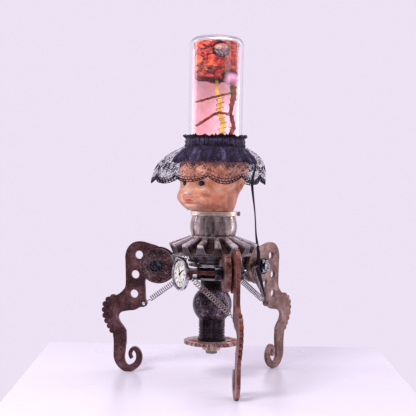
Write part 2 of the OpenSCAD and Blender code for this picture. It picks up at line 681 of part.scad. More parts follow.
// Radius of the head at an angle from the face and a height
function head_radius(a, z) =
    let (
        s = (z - chin_z) / head_h,
        f = from_face(a),
        front = (1 + cos(f)) / 2,
        round_r = lookup(s, face_side) * front + lookup(s, back_side) * (1 - front),
        cheeks = 1.7 * (bump(f - 40, 20) + bump(f + 40, 20)) * bump(s - 0.24, 0.12),
        nose = 3.4 * bump(f, 6.5) * bump(s - 0.33, 0.05) + 1.6 * bump(f, 8) * bump(s - 0.4, 0.08),
        sockets = -1.6 * (bump(f - eye_turn, 10) + bump(f + eye_turn, 10)) * bump(s - eye_level, 0.055),
        lips = 1.6 * bump(f, 11) * bump(s - 0.205, 0.03) - 1.4 * bump(f, 15) * bump(s - 0.24, 0.02),
        chin = 1.8 * bump(f, 16) * bump(s - 0.1, 0.05),
        ears = 3.2 * (bump(f - 92, 7) + bump(f + 92, 7)) * bump(s - 0.46, 0.1))
    max(doll_neck_r, round_r + cheeks + nose + sockets + lips + chin + ears);

head_cols = 60;
head_rows = 26;
head_low = ring_z - 2.6;
head_levels = concat(
    [head_low, ring_z + ring_h + 0.4],
    [for (j = [0 : head_rows]) let (s = j / head_rows) ring_z + ring_h + 0.8 + (crown_z - ring_z - ring_h - 0.8) * s]);

module doll_head() color("#d9a98c") at_head() difference() {
    ring_solid([for (z = head_levels) [for (i = [0 : head_cols - 1])
        let (a = 360 * i / head_cols, r = z < ring_z + ring_h + 0.5 ? doll_neck_r : head_radius(a, z))
        [r * cos(a), r * sin(a), z]]]);
    translate([0, 0, seat_z]) cylinder(h = 20, r = jar_r + 0.1, $fn = 96);
    translate([0, 0, plug_z - 5]) cylinder(h = plug_top - plug_z + 5, r = plug_r + fit);
    for (side = [-1, 1]) rotate([0, 0, side * eye_turn]) translate([eye_out, 0, eye_z])
        sphere(r = eye_r + clear / 2, $fn = 48);
}

eye_z = chin_z + eye_level * head_h;
eye_r = 4;
eye_out = head_radius(eye_turn, eye_z) - 0.62 * eye_r;

module doll_eyes() color("#2c3140") at_head() for (side = [-1, 1])
    rotate([0, 0, side * eye_turn]) translate([eye_out, 0, eye_z]) sphere(r = eye_r, $fn = 48);

module neck_plug() color("#7d5b3c") on_axis() difference() {
    translate([0, 0, plug_z]) cylinder(h = plug_top - plug_z, r = plug_r);
    translate([0, 0, plug_z - 1]) cylinder(h = plug_top - plug_z - 1, r = rod_d / 2 + 0.06);
}

// Jar, closed end up, standing in the seat of the crown
jar_low = seat_z;
jar_top = jar_low + jar_h;
jar_in = jar_r - jar_wall;
jar_round = 7;

module glass_jar() color("#dfe6ee", 0.35) on_axis() rotate_extrude($fn = 96) difference() {
    union() {
        translate([0, jar_low]) square([jar_r, jar_h - jar_round]);
        square_top = jar_r - jar_round;
        translate([0, jar_top - jar_round]) square([square_top, jar_round]);
        translate([square_top, jar_top - jar_round]) circle(r = jar_round);
    }
    translate([-1, jar_low - 1]) square([jar_in + 1, jar_h - jar_wall - 3]);
    translate([-1, jar_top - jar_wall - 5]) square([jar_in - 3, 5]);
    translate([jar_in - 4, jar_top - jar_wall - 4]) circle(r = 4);
    translate([-60, jar_low - 10]) square([60, jar_h + 20]);
}

// Paper liner: a curved sheet round the back of the jar
liner_out = jar_in - 0.3;
liner_t = 0.8;
liner_top = jar_top - 14;

module jar_liner() color("#f0b9c4") on_axis() translate([0, 0, jar_low]) rotate([0, 0, -25])
    rotate_extrude(angle = 230, $fn = 96) translate([liner_out - liner_t, 0]) square([liner_t, liner_top - jar_low]);

// Crumpled tissue under the dome
tissue_low = jar_top - 42;
tissue_high = jar_top - jar_wall - 2.2;

function crumple(a, s) = 1 + 0.1 * sin(5 * a + 300 * s) + 0.07 * sin(9 * a - 500 * s) + 0.05 * cos(13 * a + 900 * s);

module orange_tissue() color("#ee6a3f") on_axis() difference() {
    ring_solid([for (j = [0 : 9]) let (s = j / 9, z = tissue_low + (tissue_high - tissue_low) * s) [for (i = [0 : 29])
        let (a = 12 * i, r = 19.4 * sqrt(max(0.08, 1 - pow(abs(2 * s - 1.05), 2.6))) * crumple(a, s))
        [r * cos(a), r * sin(a), z + (j > 0 && j < 9 ? 1.4 * sin(7 * a + 200 * s) : 0)]]]);
    translate(pod_at) sphere(r = pod_r + soft_gap, $fn = 48);
    translate([pod_at[0], pod_at[1] - 12, pod_at[2]]) rotate([-90, 0, 0]) cylinder(h = 12, r = pod_r + 3);
    translate([stem_x(80), stem_y, jar_low]) cylinder(h = tissue_low + 14 - jar_low, r = 3);
    translate(bead_at) sphere(r = bead_r + soft_gap, $fn = 48);
}

pod_r = 6.6;
pod_at = [4, -15, jar_top - 15.5];

module seed_pod() color("#3a2f3c") on_axis() translate(pod_at)
    ring_solid([for (j = [0 : 9]) let (tilt = -80 + 160 * j / 9) [for (i = [0 : 29])
        let (a = 12 * i, r = pod_r * (0.95 + 0.05 * cos(10 * a)) * cos(tilt))
        [r * cos(a), r * sin(a), pod_r * sin(tilt)]]]);

// Cut strip that stands on the crown and zigzags up to the tissue
// Heights of what fills the jar were drawn for a jar of this height, and follow the real one
drawn_jar_h = 122.3;
tall = jar_h / drawn_jar_h;
drawn_stem = [[9, 0, 4.6], [9.5, 12, 5.4], [5, 22, 3.4], [8, 34, 4.6], [3, 44, 3], [5, 56, 3.6], [0.5, 66, 2.6],
    [1, 81, 2.2]];
stem_line = [for (q = drawn_stem) [q[0], q[1] * tall, q[2]]];
stem_y = -4;

module yellow_stem() color("#f2bd3c") on_axis() translate([0, stem_y + 0.6, jar_low]) rotate([90, 0, 0])
    linear_extrude(1.2) intersection() {
        polygon(band_outline(open_curve(stem_line, 2)));
        square([40, 200], center = false);
    }

function stem_x(h) = lookup(h, [for (q = stem_line) [q[1], q[0]]]);

coil_turns = 9;
coil_wire = 0.7;
coil_r = 3.6;
coil_low = 14 * tall;
coil_rise = 46 * tall;

function coil_path() = concat(
    [[stem_x(coil_low) + coil_r, stem_y - 1.4, jar_low + coil_low]],
    [for (k = [0 : 8 * coil_turns]) let (s = k / (8 * coil_turns), h = coil_low + coil_rise * s)
        [stem_x(h) + coil_r * cos(45 * k), stem_y + coil_r * sin(45 * k), jar_low + h]],
    [[stem_x(coil_low + coil_rise) + coil_r, stem_y + 1.4, jar_low + coil_low + coil_rise]]);

module wire_coil() color("#a9794d") on_axis() wire(coil_path(), coil_wire / 2);

echo(coil_self_gap = self_gap(coil_path(), coil_wire));

twig_points = [[11, -14, 0.62], [13, -13, 10], [18, -11, 22], [19.5, -9, 31], [17.5, -9.5, 42], [18.5, -9, 53],
               [19.5, -8, 64], [17, -9, 72]];
low_cross = [[-19.9, -12.2, 29], [-10, -13.4, 36], [3, -14.4, 43], [15.2, -12.6, 41.6]];
high_cross = [[-20.8, -11.2, 54], [-8, -13, 57.5], [4, -14, 61], [16.8, -11.2, 64]];
function in_jar(points) = [for (q = points) [q[0], q[1], jar_low + q[2] * tall]];
twig_r = [2.2, 2.2, 2, 1.9, 1.9, 2, 2.6, 2.2];

module main_twig() color("#6b4a35") on_axis()
    wire(in_jar(twig_points), twig_r, 8);

bead_r = 7.4;
bead_at = [14.2, -8.8, jar_low + twig_points[7][2] * tall + bead_r + clear];

module bead() color("#c98fb4") on_axis() translate(bead_at) sphere(r = bead_r);

module cross_twigs() color("#7a4b3c") on_axis() {
    wire(in_jar(high_cross), 1, 6);
    wire(in_jar(low_cross), 1.4, 6);
}

// Lace at the crown: gathered band round the jar, thick ruffle and hanging veil
band_low = crown_z + 1;
band_h = 15;
band_t = 1.4;

module lace_band() color("#1d1720") on_axis() rotate_extrude($fn = 96) {
    inner = jar_r + soft_gap;
    polygon(concat(
        [[inner, band_low], [inner + band_t, band_low]],
        [for (k = [1 : 4]) [inner + band_t + (k % 2 == 0 ? 0.5 : 0), band_low + band_h * k / 5]],
        [[inner + band_t, band_low + band_h], [inner, band_low + band_h]]));
}

// Ring of a folded cloth, from a row of [radius, height, fold depth, turn of the folds, lift of the hem, lean]
function folded_ring(q, out, folds, cols) = [for (i = [0 : cols - 1])
    let (a = 360 * i / cols, r = q[0] + out + q[2] * cos(folds * a + q[3]))
    [r * cos(a) - q[5], r * sin(a), q[1] + q[4] * cos(folds * a / 2)]];

module folded_cloth(profile, thick, folds, cols) {
    ring_shell([for (q = profile) folded_ring(q, thick / 2, folds, cols)],
               [for (q = profile) folded_ring(q, -thick / 2, folds, cols)]);
}

ruffle_r = jar_r + soft_gap + band_t + 1.4;

module lace_ruffle() color("#352a3c") on_axis() folded_cloth([
    [42.6, crown_z - 11, 1.6, 20, 0.6, 1], [41, crown_z - 6, 1.2, 10, 0.3, 0.6],
    [37, crown_z - 1, 0.8, 0, 0, 0.2], [ruffle_r, crown_z + 3.4, 0.1, 0, 0, 0]],
    1.2, 12, 48);

module lace_veil() color("#2b2230") on_axis() folded_cloth([
    [veil_hem_r, crown_z - 33, 3.2, 40, 2, 7], [veil_hem_r - 0.5, crown_z - 25, 2.6, 30, 0, 6],
    [veil_hem_r - 2, crown_z - 15, 2, 20, 0, 4.5], [veil_hem_r - 5.5, crown_z - 5.5, 1.4, 10, 0, 2.5],
    [veil_hem_r - 12.5, crown_z + 2.5, 0.7, 0, 0, 1],
    [ruffle_r, crown_z + 10.5, 0.05, 0, 0, 0]], 1, 10, 60);

// Ribbon from the lace band down to the nut of the right leg's bolt
ribbon_w = 3.2;
ribbon_t = 0.5;
ribbon_angle = 22;
knot_r = 3;
nut_corner_r = bolt_d * 0.93;
tie_r = nut_corner_r + clear;
tie_t = 0.6;
knot_across = plate_back - washer_t - nut_t / 2;
knot_out = pivot_r - tie_r - tie_t / 2 - knot_r + 0.1;
knot_at = concat(in_plan(right_angle, knot_out, knot_across), [pivot_z]);

// Thin strip along a path of [x, y, z, direction of its width]
module flat_band(p, w, t) ring_solid([for (q = p)
    let (
        c = [q[0], q[1], q[2]],
        wide = [cos(q[3]), sin(q[3]), 0] * w / 2,
        deep = [-sin(q[3]), cos(q[3]), 0] * t / 2)
    [c - wide - deep, c + wide - deep, c + wide + deep, c - wide + deep]]);

function ribbon_point(r, z) = [r * cos(ribbon_angle), r * sin(ribbon_angle), z, ribbon_angle + 90];

module ribbon() color("#17141a") on_axis() flat_band([
    [knot_at[0], knot_at[1], knot_at[2] + knot_r + clear, 180],
    [46.5, 22.6, crown_z - 88, 178], [44.6, 20, crown_z - 64, 165],
    ribbon_point(44, crown_z - 34), ribbon_point(45.2, crown_z - 23), ribbon_point(47, crown_z - 16),
    ribbon_point(47, crown_z - 10.5), ribbon_point(44.8, crown_z - 5.5),
    ribbon_point(40.6, crown_z - 0.8), ribbon_point(ruffle_r + 1.3, crown_z + 4)], ribbon_w, ribbon_t);

// Ribbon tied round the nut: the turn round it, the knot beside it and two hanging tails
module ribbon_knot() color("#17141a") at_leg(right_angle, false) {
    difference() {
        union() {
            across(knot_across + ribbon_w / 2, knot_across - ribbon_w / 2, tie_r + tie_t);
            translate([knot_out, knot_across, pivot_z]) sphere(r = knot_r, $fn = 32);
        }
        across(knot_across + ribbon_w, knot_across - ribbon_w, tie_r);
    }
    translate([knot_out, knot_across, pivot_z]) {
        flat_band([[10, -2.6, -34, 20], [5, -2.2, -21, 14], [1.6, -1.6, -10, 6], [0.3, -0.8, -1, 0]],
            ribbon_w, ribbon_t);
        flat_band([[4.2, -4.2, -37, 12], [1, -4, -29, 6], [-4.4, -3, -18, 0], [-4, -2, -8, -8], [-0.6, -1.2, -1, -10]],
            ribbon_w + 1.2, ribbon_t);
    }
}

center_rod();
flange_nut();
sprocket();
base_flange();
column_neck();
column_ball();
column_barrel();
lower_plate();
hub_spacers();
spider();
upper_flange();
grooved_collar();
bevel_gear();
steel_cup();
rod_nut();
thrust_washer();
neck_ring();
ring_screw();
arm_brackets();
lug_disc_left();
lug_disc_front();
lug_disc_right();
leg_left();
leg_front();
leg_right();
pivot_bolts();
pivot_spacers();
pivot_washers();
pivot_nuts();
spring_left();
spring_front();
spring_right();
dial_hook();
dial_bow();
dial_case();
dial_face();
dial_hands();
neck_plug();
doll_head();
doll_eyes();
glass_jar();
jar_liner();
orange_tissue();
seed_pod();
yellow_stem();
wire_coil();
main_twig();
cross_twigs();
bead();
lace_band();
lace_ruffle();
lace_veil();
ribbon();
ribbon_knot();
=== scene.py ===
"""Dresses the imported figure: finishes for its metal, and modelled cloth, head and jar filling."""

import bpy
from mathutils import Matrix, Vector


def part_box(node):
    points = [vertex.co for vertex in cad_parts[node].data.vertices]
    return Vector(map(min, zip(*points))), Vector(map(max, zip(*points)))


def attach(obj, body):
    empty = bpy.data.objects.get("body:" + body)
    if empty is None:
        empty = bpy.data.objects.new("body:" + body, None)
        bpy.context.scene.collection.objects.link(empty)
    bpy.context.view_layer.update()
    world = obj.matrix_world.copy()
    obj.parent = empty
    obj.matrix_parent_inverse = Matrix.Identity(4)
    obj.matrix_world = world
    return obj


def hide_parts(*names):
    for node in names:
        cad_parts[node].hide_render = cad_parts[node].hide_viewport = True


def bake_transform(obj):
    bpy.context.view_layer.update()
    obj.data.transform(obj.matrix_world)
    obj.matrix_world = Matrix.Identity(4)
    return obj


bl_info = {
    "name": "Fortune teller figure",
    "version": (1, 1, 0),
    "blender": (4, 5, 0),
    "location": "View3D > Sidebar > Figure",
    "description": "Dresses the packed figure with its metal, lace, head and jar filling",
    "category": "Add Mesh",
}

from math import atan2, cos, degrees, exp, hypot, pi, radians, sin, sqrt

import bmesh
import bpy
from bpy.props import FloatProperty, FloatVectorProperty, IntProperty, PointerProperty
from mathutils import Matrix, Vector, noise

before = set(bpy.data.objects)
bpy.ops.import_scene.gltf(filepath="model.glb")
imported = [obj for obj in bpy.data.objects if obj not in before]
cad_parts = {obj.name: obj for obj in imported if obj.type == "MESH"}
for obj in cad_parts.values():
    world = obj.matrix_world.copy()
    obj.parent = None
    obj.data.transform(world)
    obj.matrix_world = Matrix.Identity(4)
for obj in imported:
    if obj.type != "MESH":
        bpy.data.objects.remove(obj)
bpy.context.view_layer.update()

MM = 0.001
ROD_LOW, ROD_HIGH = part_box("center_rod")
AXIS = Vector(((ROD_LOW.x + ROD_HIGH.x) / 2, (ROD_LOW.y + ROD_HIGH.y) / 2, 0))


def height_of(node, top):
    """Lowest or highest level of a node, in millimetres."""
    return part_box(node)[1 if top else 0].z / MM


def middle_of(node):
    """Middle of a node's box, in millimetres about the column axis."""
    lo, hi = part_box(node)
    return ((lo + hi) / 2 - AXIS) / MM


RING_Z = height_of("neck_ring", False)
RING_TOP = height_of("neck_ring", True)
NECK_LAP = 2.6
CHIN_Z = RING_Z + NECK_LAP
CROWN_Z = height_of("doll_head", True)
JAR_Z = height_of("glass_jar", False)
JAR_TOP = height_of("glass_jar", True)
JAR_R = 28.6
DRAWN_JAR_HEIGHT = 122.3
TALL = (JAR_TOP - JAR_Z) / DRAWN_JAR_HEIGHT
LEG_ANGLES = {"left": 170.0, "front": -84.0, "right": 50.0}
MATERIALS = {}


# Placing

def in_plan(angle, r, t, z):
    """Point out from the column axis at an angle, across it and at a height, in millimetres."""
    a = radians(angle)
    return Vector((r * cos(a) - t * sin(a), r * sin(a) + t * cos(a), z))


def polar(angle, r, z):
    """Point out from the column axis at an angle and at a height, in millimetres."""
    return in_plan(angle, r, 0, z)


def angle_of(p):
    """Angle of a point round the column axis, in degrees."""
    return degrees(atan2(p.y, p.x)) % 360


def sine(angle):
    """Sine of an angle in degrees."""
    return sin(radians(angle))


def bump(x, size):
    """1 at x = 0, and smaller the further x is from it."""
    return exp(-(x * x) / (size * size))


def smooth_step(low, high, x):
    """0 at low and 1 at high, with a soft start and end between them."""
    t = min(1.0, max(0.0, (x - low) / (high - low)))
    return t * t * (3 - 2 * t)


def smooth_table(table, x):
    """Value at x on a smooth curve through the (place, value) rows of a table."""
    last = len(table) - 1
    i = 0
    while i < last - 1 and x > table[i + 1][0]:
        i += 1

    def slope(k):
        a, b = table[max(k - 1, 0)], table[min(k + 1, last)]
        return (b[1] - a[1]) / (b[0] - a[0])

    (x0, y0), (x1, y1) = table[i], table[i + 1]
    h = x1 - x0
    t = min(1.0, max(0.0, (x - x0) / h))
    return (y0 * (2 * t ** 3 - 3 * t * t + 1) + y1 * (3 * t * t - 2 * t ** 3)
            + h * (slope(i) * (t ** 3 - 2 * t * t + t) + slope(i + 1) * (t ** 3 - t * t)))


def ring_noise(angle, size, level):
    """Noise that closes on itself round the column."""
    a = radians(angle)
    return noise.noise(Vector((cos(a) * size, sin(a) * size, level)))


def coat(mesh, finish):
    mesh.materials.clear()
    mesh.materials.append(MATERIALS[finish])


def add_object(name, mesh, finish, body, replaced=(), smooth=True):
    for face in mesh.polygons:
        face.use_smooth = smooth
    piece = bpy.data.objects.new(name, mesh)
    bpy.context.scene.collection.objects.link(piece)
    coat(mesh, finish)
    if body:
        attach(piece, body)
    if replaced:
        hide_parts(*replaced)
    return piece


def from_bmesh(name, bm, finish, body, replaced=(), smooth=True):
    """A piece from a bmesh in millimetres about the column axis."""
    bmesh.ops.scale(bm, vec=(MM, MM, MM), verts=bm.verts)
    bmesh.ops.translate(bm, vec=AXIS, verts=bm.verts)
    mesh = bpy.data.meshes.new(name)
    bm.to_mesh(mesh)
    bm.free()
    return add_object(name, mesh, finish, body, replaced, smooth)


def mesh_of(curve):
    """The mesh that a curve or a text makes."""
    shaper = bpy.data.objects.new(curve.name + "_line", curve)
    bpy.context.scene.collection.objects.link(shaper)
    bpy.context.view_layer.update()
    mesh = bpy.data.meshes.new_from_object(shaper)
    bpy.data.objects.remove(shaper)
    return mesh


def from_lines(name, lines, finish, body, replaced=(), sides=2, cyclic=False):
    """Tubes along lines of (point, radius), all in millimetres about the column axis."""
    curve = bpy.data.curves.new(name, "CURVE")
    curve.dimensions = "3D"
    curve.bevel_depth = 1.0
    curve.bevel_resolution = sides
    curve.use_fill_caps = True
    for line in lines:
        spline = curve.splines.new("POLY")
        spline.points.add(len(line) - 1)
        spline.use_cyclic_u = cyclic
        for knot, (point, radius) in zip(spline.points, line):
            knot.co = (*(AXIS + Vector(point) * MM), 1)
            knot.radius = radius * MM
    mesh = mesh_of(curve)
    mesh.name = name
    return add_object(name, mesh, finish, body, replaced)


def mapped_grid(cols, rows, point, seam=False):
    """A grid moved to point(u, v), with u and v kept as its UV map, and closed along its seam if asked."""
    bm = bmesh.new()
    layer = bm.loops.layers.uv.new("UVMap")
    bmesh.ops.create_grid(bm, x_segments=cols, y_segments=rows, size=0.5)
    for face in bm.faces:
        for loop in face.loops:
            loop[layer].uv = (loop.vert.co.x + 0.5, loop.vert.co.y + 0.5)
    for vert in bm.verts:
        vert.co = point(vert.co.x + 0.5, vert.co.y + 0.5)
    if seam:
        bmesh.ops.remove_doubles(bm, verts=bm.verts, dist=1e-5)
    bmesh.ops.recalc_face_normals(bm, faces=bm.faces)
    return bm


def thicken(piece, thickness):
    wall = piece.modifiers.new("Thickness", "SOLIDIFY")
    wall.thickness = thickness * MM
    wall.offset = 0.0


def moulded(bm, shape, place, tilt=0.0):
    """Moves the points of a ball by a rule, leans it about X by some degrees and sets it in its place."""
    for vert in bm.verts:
        vert.co = shape(vert.co.copy())
    bmesh.ops.rotate(bm, cent=(0, 0, 0), matrix=Matrix.Rotation(radians(tilt), 3, "X"), verts=bm.verts)
    bmesh.ops.translate(bm, vec=place, verts=bm.verts)
    return bm


def smooth_line(points, steps):
    """Points on a smooth curve through the given ones."""
    result = []
    last = len(points) - 1
    for i in range(last):
        a, b = Vector(points[max(i - 1, 0)]), Vector(points[i])
        c, d = Vector(points[i + 1]), Vector(points[min(i + 2, last)])
        for k in range(steps):
            s = k / steps
            result.append(0.5 * (2 * b + (c - a) * s + (2 * a - 5 * b + 4 * c - d) * s * s
                                 + (3 * b - a - 3 * c + d) * s ** 3))
    result.append(Vector(points[last]))
    return result


def on_profile(profile, v):
    """Point at share v of a profile's knots."""
    place = v * (len(profile) - 1)
    i = min(int(place), len(profile) - 2)
    t = place - i
    before, after = profile[max(i - 1, 0)], profile[min(i + 2, len(profile) - 1)]
    a, b = profile[i], profile[i + 1]
    return [0.5 * (2 * a[k] + (b[k] - before[k]) * t
                   + (2 * before[k] - 5 * a[k] + 4 * b[k] - after[k]) * t * t
                   + (3 * a[k] - before[k] - 3 * b[k] + after[k]) * t ** 3) for k in range(len(a))]


def paint(piece, layers):
    """Adds point attributes worked out from each vertex, given in millimetres about the column axis."""
    mesh = piece.data
    for name, rule in layers.items():
        layer = mesh.attributes.new(name, "FLOAT", "POINT")
        layer.data.foreach_set("value", [rule((v.co - AXIS) / MM) for v in mesh.vertices])


# Materials

class Finish:
    """One material and the nodes that shape it."""

    def __init__(self, name):
        self.material = bpy.data.materials.new(name)
        self.material.use_nodes = True
        self.tree = self.material.node_tree
        self.tree.nodes.clear()
        self.output = self.add("ShaderNodeOutputMaterial")
        coordinates = self.add("ShaderNodeTexCoord")
        self.place = coordinates.outputs["Object"]
        self.uv = coordinates.outputs["UV"]

    def add(self, kind, settings=None, **inputs):
        """A new node with its settings, and its inputs by name."""
        node = self.tree.nodes.new(kind)
        for key, value in (settings or {}).items():
            setattr(node, key, value)
        for key, value in inputs.items():
            self.put(node.inputs[key.replace("_", " ")], value)
        return node

    def put(self, socket, value):
        """Links a socket to another, or sets it to a value."""
        if isinstance(value, bpy.types.NodeSocket):
            self.tree.links.new(value, socket)
        elif isinstance(value, tuple) and len(value) == 3 and len(socket.default_value) == 4:
            socket.default_value = (*value, 1)
        else:
            socket.default_value = value

    def put_in_order(self, node, *values):
        for socket, value in zip(node.inputs, values):
            self.put(socket, value)
        return node

    def noise(self, scale, detail=5.0, rough=0.6, vector=None, distortion=0.0):
        return self.add("ShaderNodeTexNoise", Scale=scale, Detail=detail, Roughness=rough,
                        Distortion=distortion, Vector=vector or self.place).outputs["Fac"]

    def cells(self, scale, feature="F1", vector=None, randomness=1.0):
        return self.add("ShaderNodeTexVoronoi", {"feature": feature}, Scale=scale, Randomness=randomness,
                        Vector=vector or self.place).outputs["Distance"]

    def stretched(self, scale, vector=None):
        return self.add("ShaderNodeMapping", Scale=scale, Vector=vector or self.place).outputs["Vector"]

    def ramp(self, source, stops):
        node = self.add("ShaderNodeValToRGB", Fac=source)
        elements = node.color_ramp.elements
        while len(elements) < len(stops):
            elements.new(0.5)
        for element, (position, colour) in zip(elements, stops):
            element.position = position
            element.color = (*colour, 1)
        return node.outputs["Color"]

    def window(self, source, low, high, out_low=0.0, out_high=1.0):
        """Maps a range of source onto another, clamped."""
        return self.add("ShaderNodeMapRange", {"interpolation_type": "SMOOTHSTEP"}, Value=source,
                        From_Min=low, From_Max=high, To_Min=out_low, To_Max=out_high).outputs["Result"]

    def math(self, operation, a, b):
        return self.put_in_order(self.add("ShaderNodeMath", {"operation": operation}), a, b).outputs[0]

    def shares(self, a, share_of_a, b, share_of_b):
        """A weighted sum of two sources."""
        return self.math("ADD", self.math("MULTIPLY", a, share_of_a), self.math("MULTIPLY", b, share_of_b))

    def over(self, tone, colour, *masks):
        """Lays a colour over a tone, as far as all of its masks let it."""
        cover = masks[0]
        for mask in masks[1:]:
            cover = self.math("MULTIPLY", cover, mask)
        node = self.add("ShaderNodeMix", {"data_type": "RGBA"}, Factor=cover)
        self.put(node.inputs[6], tone)
        self.put(node.inputs[7], colour)
        return node.outputs[2]

    def part(self, axis):
        return self.add("ShaderNodeSeparateXYZ", Vector=self.place).outputs[axis]

    def from_axis(self):
        """Distance from the column axis, in metres."""
        centred = self.add("ShaderNodeMapping", Location=-AXIS, Vector=self.place).outputs["Vector"]
        node = self.add("ShaderNodeVectorMath", {"operation": "LENGTH"})
        return self.put_in_order(node, self.stretched((1, 1, 0), centred)).outputs["Value"]

    def edges(self, radius):
        """Near 1 on the corners of a hard-edged part."""
        rounded = self.add("ShaderNodeBevel", {"samples": 4}, Radius=radius * MM)
        flat = self.add("ShaderNodeNewGeometry")
        dot = self.add("ShaderNodeVectorMath", {"operation": "DOT_PRODUCT"})
        self.put_in_order(dot, rounded.outputs["Normal"], flat.outputs["Normal"])
        return self.window(dot.outputs["Value"], 0.995, 0.85)

    def attribute(self, name):
        return self.add("ShaderNodeAttribute", {"attribute_name": name}).outputs["Fac"]

    def relief(self, height, strength, distance):
        return self.add("ShaderNodeBump", Strength=strength, Distance=distance * MM,
                        Height=height).outputs["Normal"]

    def shade(self, **inputs):
        """The finished material, with a surface of these inputs."""
        shader = self.add("ShaderNodeBsdfPrincipled", **inputs)
        self.put(self.output.inputs["Surface"], shader.outputs[0])
        return self.material


def worn_metal(name, dark, middle, light, rust, rust_level=0.6, shine=0.42, metal=0.9,
               grain=900.0, edge_wear_and_highlight=0.6, fleck=0.3, relief=0.6):
    """Old steel: mottled tone, light flecks, dark pits, rubbed edges that are also lighter as a painted
    highlight, and patches of rust.
    """
    f = Finish(name)
    fine = f.noise(grain, 4.0, 0.7)
    mottle = f.shares(f.noise(62.0, 7.0, 0.7), 0.6, fine, 0.4)
    tone = f.ramp(mottle, [(0.41, dark), (0.51, middle), (0.62, light)])
    tone = f.over(tone, light, f.window(f.noise(480.0, 3.0, 0.65), 0.56, 0.68, 0.0, fleck))
    tone = f.over(tone, dark, f.window(f.noise(560.0, 3.0, 0.65), 0.44, 0.34, 0.0, 0.6))
    # Lighter edges: rubbed steel, and a painted highlight along them
    tone = f.over(tone, light, f.edges(0.8), f.window(f.noise(220.0, 3.0, 0.6), 0.36, 0.6, 0.2, edge_wear_and_highlight))
    rusty = f.window(f.noise(95.0, 7.0, 0.72, distortion=0.6), rust_level, rust_level + 0.12)
    tone = f.over(tone, rust, rusty)
    rough = f.window(f.math("ADD", fine, f.math("MULTIPLY", rusty, 0.5)), 0.3, 1.1, shine - 0.08, 0.85)
    return f.shade(Base_Color=tone, Metallic=metal, Roughness=rough, Normal=f.relief(fine, relief, 0.25))


def turned_metal(name, dark, light, stain, shine=0.3, stain_level=0.53, bands=260.0):
    """Lathe-turned metal: fine rings about the column, upright streaks, darker stains, lighter scuffs and a
    painted highlight on the edges.
    """
    f = Finish(name)
    ring = f.add("ShaderNodeTexNoise", {"noise_dimensions": "1D"}, Scale=2600.0, Detail=2.0,
                 W=f.part("Z")).outputs["Fac"]
    streak = f.noise(1.0, 5.0, 0.6, f.stretched((bands, bands, 24.0)))
    tone = f.ramp(f.shares(ring, 0.3, streak, 0.7), [(0.4, dark), (0.6, light)])
    tone = f.over(tone, stain, f.window(f.noise(130.0, 6.0, 0.7), stain_level, stain_level + 0.14))
    tone = f.over(tone, light, f.window(f.noise(520.0, 3.0, 0.7), 0.6, 0.7, 0.0, 0.5))
    # Painted highlight along the edges
    tone = f.over(tone, light, f.edges(0.6), 0.5)
    rough = f.window(f.noise(300.0, 4.0, 0.6), 0.35, 0.65, shine, shine + 0.22)
    return f.shade(Base_Color=tone, Metallic=1.0, Roughness=rough, Normal=f.relief(ring, 0.25, 0.06))


def gear_metal(name):
    """Machined tooth faces that are clean and rubbed, with brown rust and painted shade down in the gaps, and
    a painted highlight on the edges.
    """
    f = Finish(name)
    toe_r, heel_r, drop = 25.4 * MM, 47.1 * MM, 8.1 * MM
    toe_z = height_of("bevel_gear", True) * MM
    slope = -drop / (heel_r - toe_r)
    land = f.math("ADD", f.math("MULTIPLY", f.from_axis(), slope), toe_z - slope * toe_r)
    down = f.window(f.math("SUBTRACT", land, f.part("Z")), 0.0006, 0.0042)
    mottle = f.noise(150.0, 6.0, 0.7)
    fine = f.noise(1100.0, 3.0, 0.7)
    clean = f.ramp(mottle, [(0.4, (0.46, 0.37, 0.38)), (0.5, (0.82, 0.72, 0.75)), (0.6, (1.0, 0.93, 0.95))])
    # Tone down in the gaps between the teeth: brown rust, and near-black painted shade
    gap = f.ramp(mottle, [(0.4, (0.025, 0.017, 0.019)), (0.52, (0.095, 0.06, 0.062)),
                          (0.64, (0.25, 0.15, 0.13))])
    tone = f.over(clean, gap, down, f.window(mottle, 0.3, 0.6, 0.75, 1.0))
    # Painted highlight on the tooth edges, broken up by fine noise
    tone = f.over(tone, (0.9, 0.82, 0.87), f.edges(0.9), f.window(fine, 0.4, 0.6, 0.25, 0.8))
    tone = f.over(tone, (0.05, 0.038, 0.04), f.window(f.noise(70.0, 5.0, 0.6), 0.54, 0.64, 0.0, 0.5))
    rough = f.window(mottle, 0.4, 0.62, 0.26, 0.55)
    return f.shade(Base_Color=tone, Metallic=0.92, Roughness=rough, Normal=f.relief(fine, 0.4, 0.2))


def plain_coat(name, colour, shade_to, rough=0.5, metal=0.0, scale=200.0, **more):
    """A surface with a soft drift between two tones and a fine grain."""
    f = Finish(name)
    fine = f.noise(scale * 9, 3.0, 0.6)
    tone = f.ramp(f.noise(scale, 5.0, 0.6), [(0.4, shade_to), (0.6, colour)])
    return f.shade(Base_Color=tone, Metallic=metal, Roughness=f.window(fine, 0.3, 0.7, rough, rough + 0.15),
                   Normal=f.relief(fine, 0.3, 0.12), **more)


def glass_finish(name):
    """Clear glass. Light goes straight through to what it holds, and the dome's top is half as strong."""
    f = Finish(name)
    glass = f.add("ShaderNodeBsdfPrincipled", Base_Color=(0.95, 0.95, 0.985), Roughness=0.02, IOR=1.47,
                  Transmission_Weight=1.0)
    clear = f.add("ShaderNodeBsdfTransparent", Color=(0.95, 0.95, 0.97))
    shadow = f.add("ShaderNodeLightPath").outputs["Is Shadow Ray"]
    dome = f.window(f.part("Z"), (JAR_TOP - 7.0) * MM, (JAR_TOP - 1.0) * MM, 0.0, 0.5)
    choose = f.put_in_order(f.add("ShaderNodeMixShader"), f.math("MAXIMUM", shadow, dome), glass.outputs[0],
                            clear.outputs[0])
    f.put(f.output.inputs["Surface"], choose.outputs[0])
    return f.material


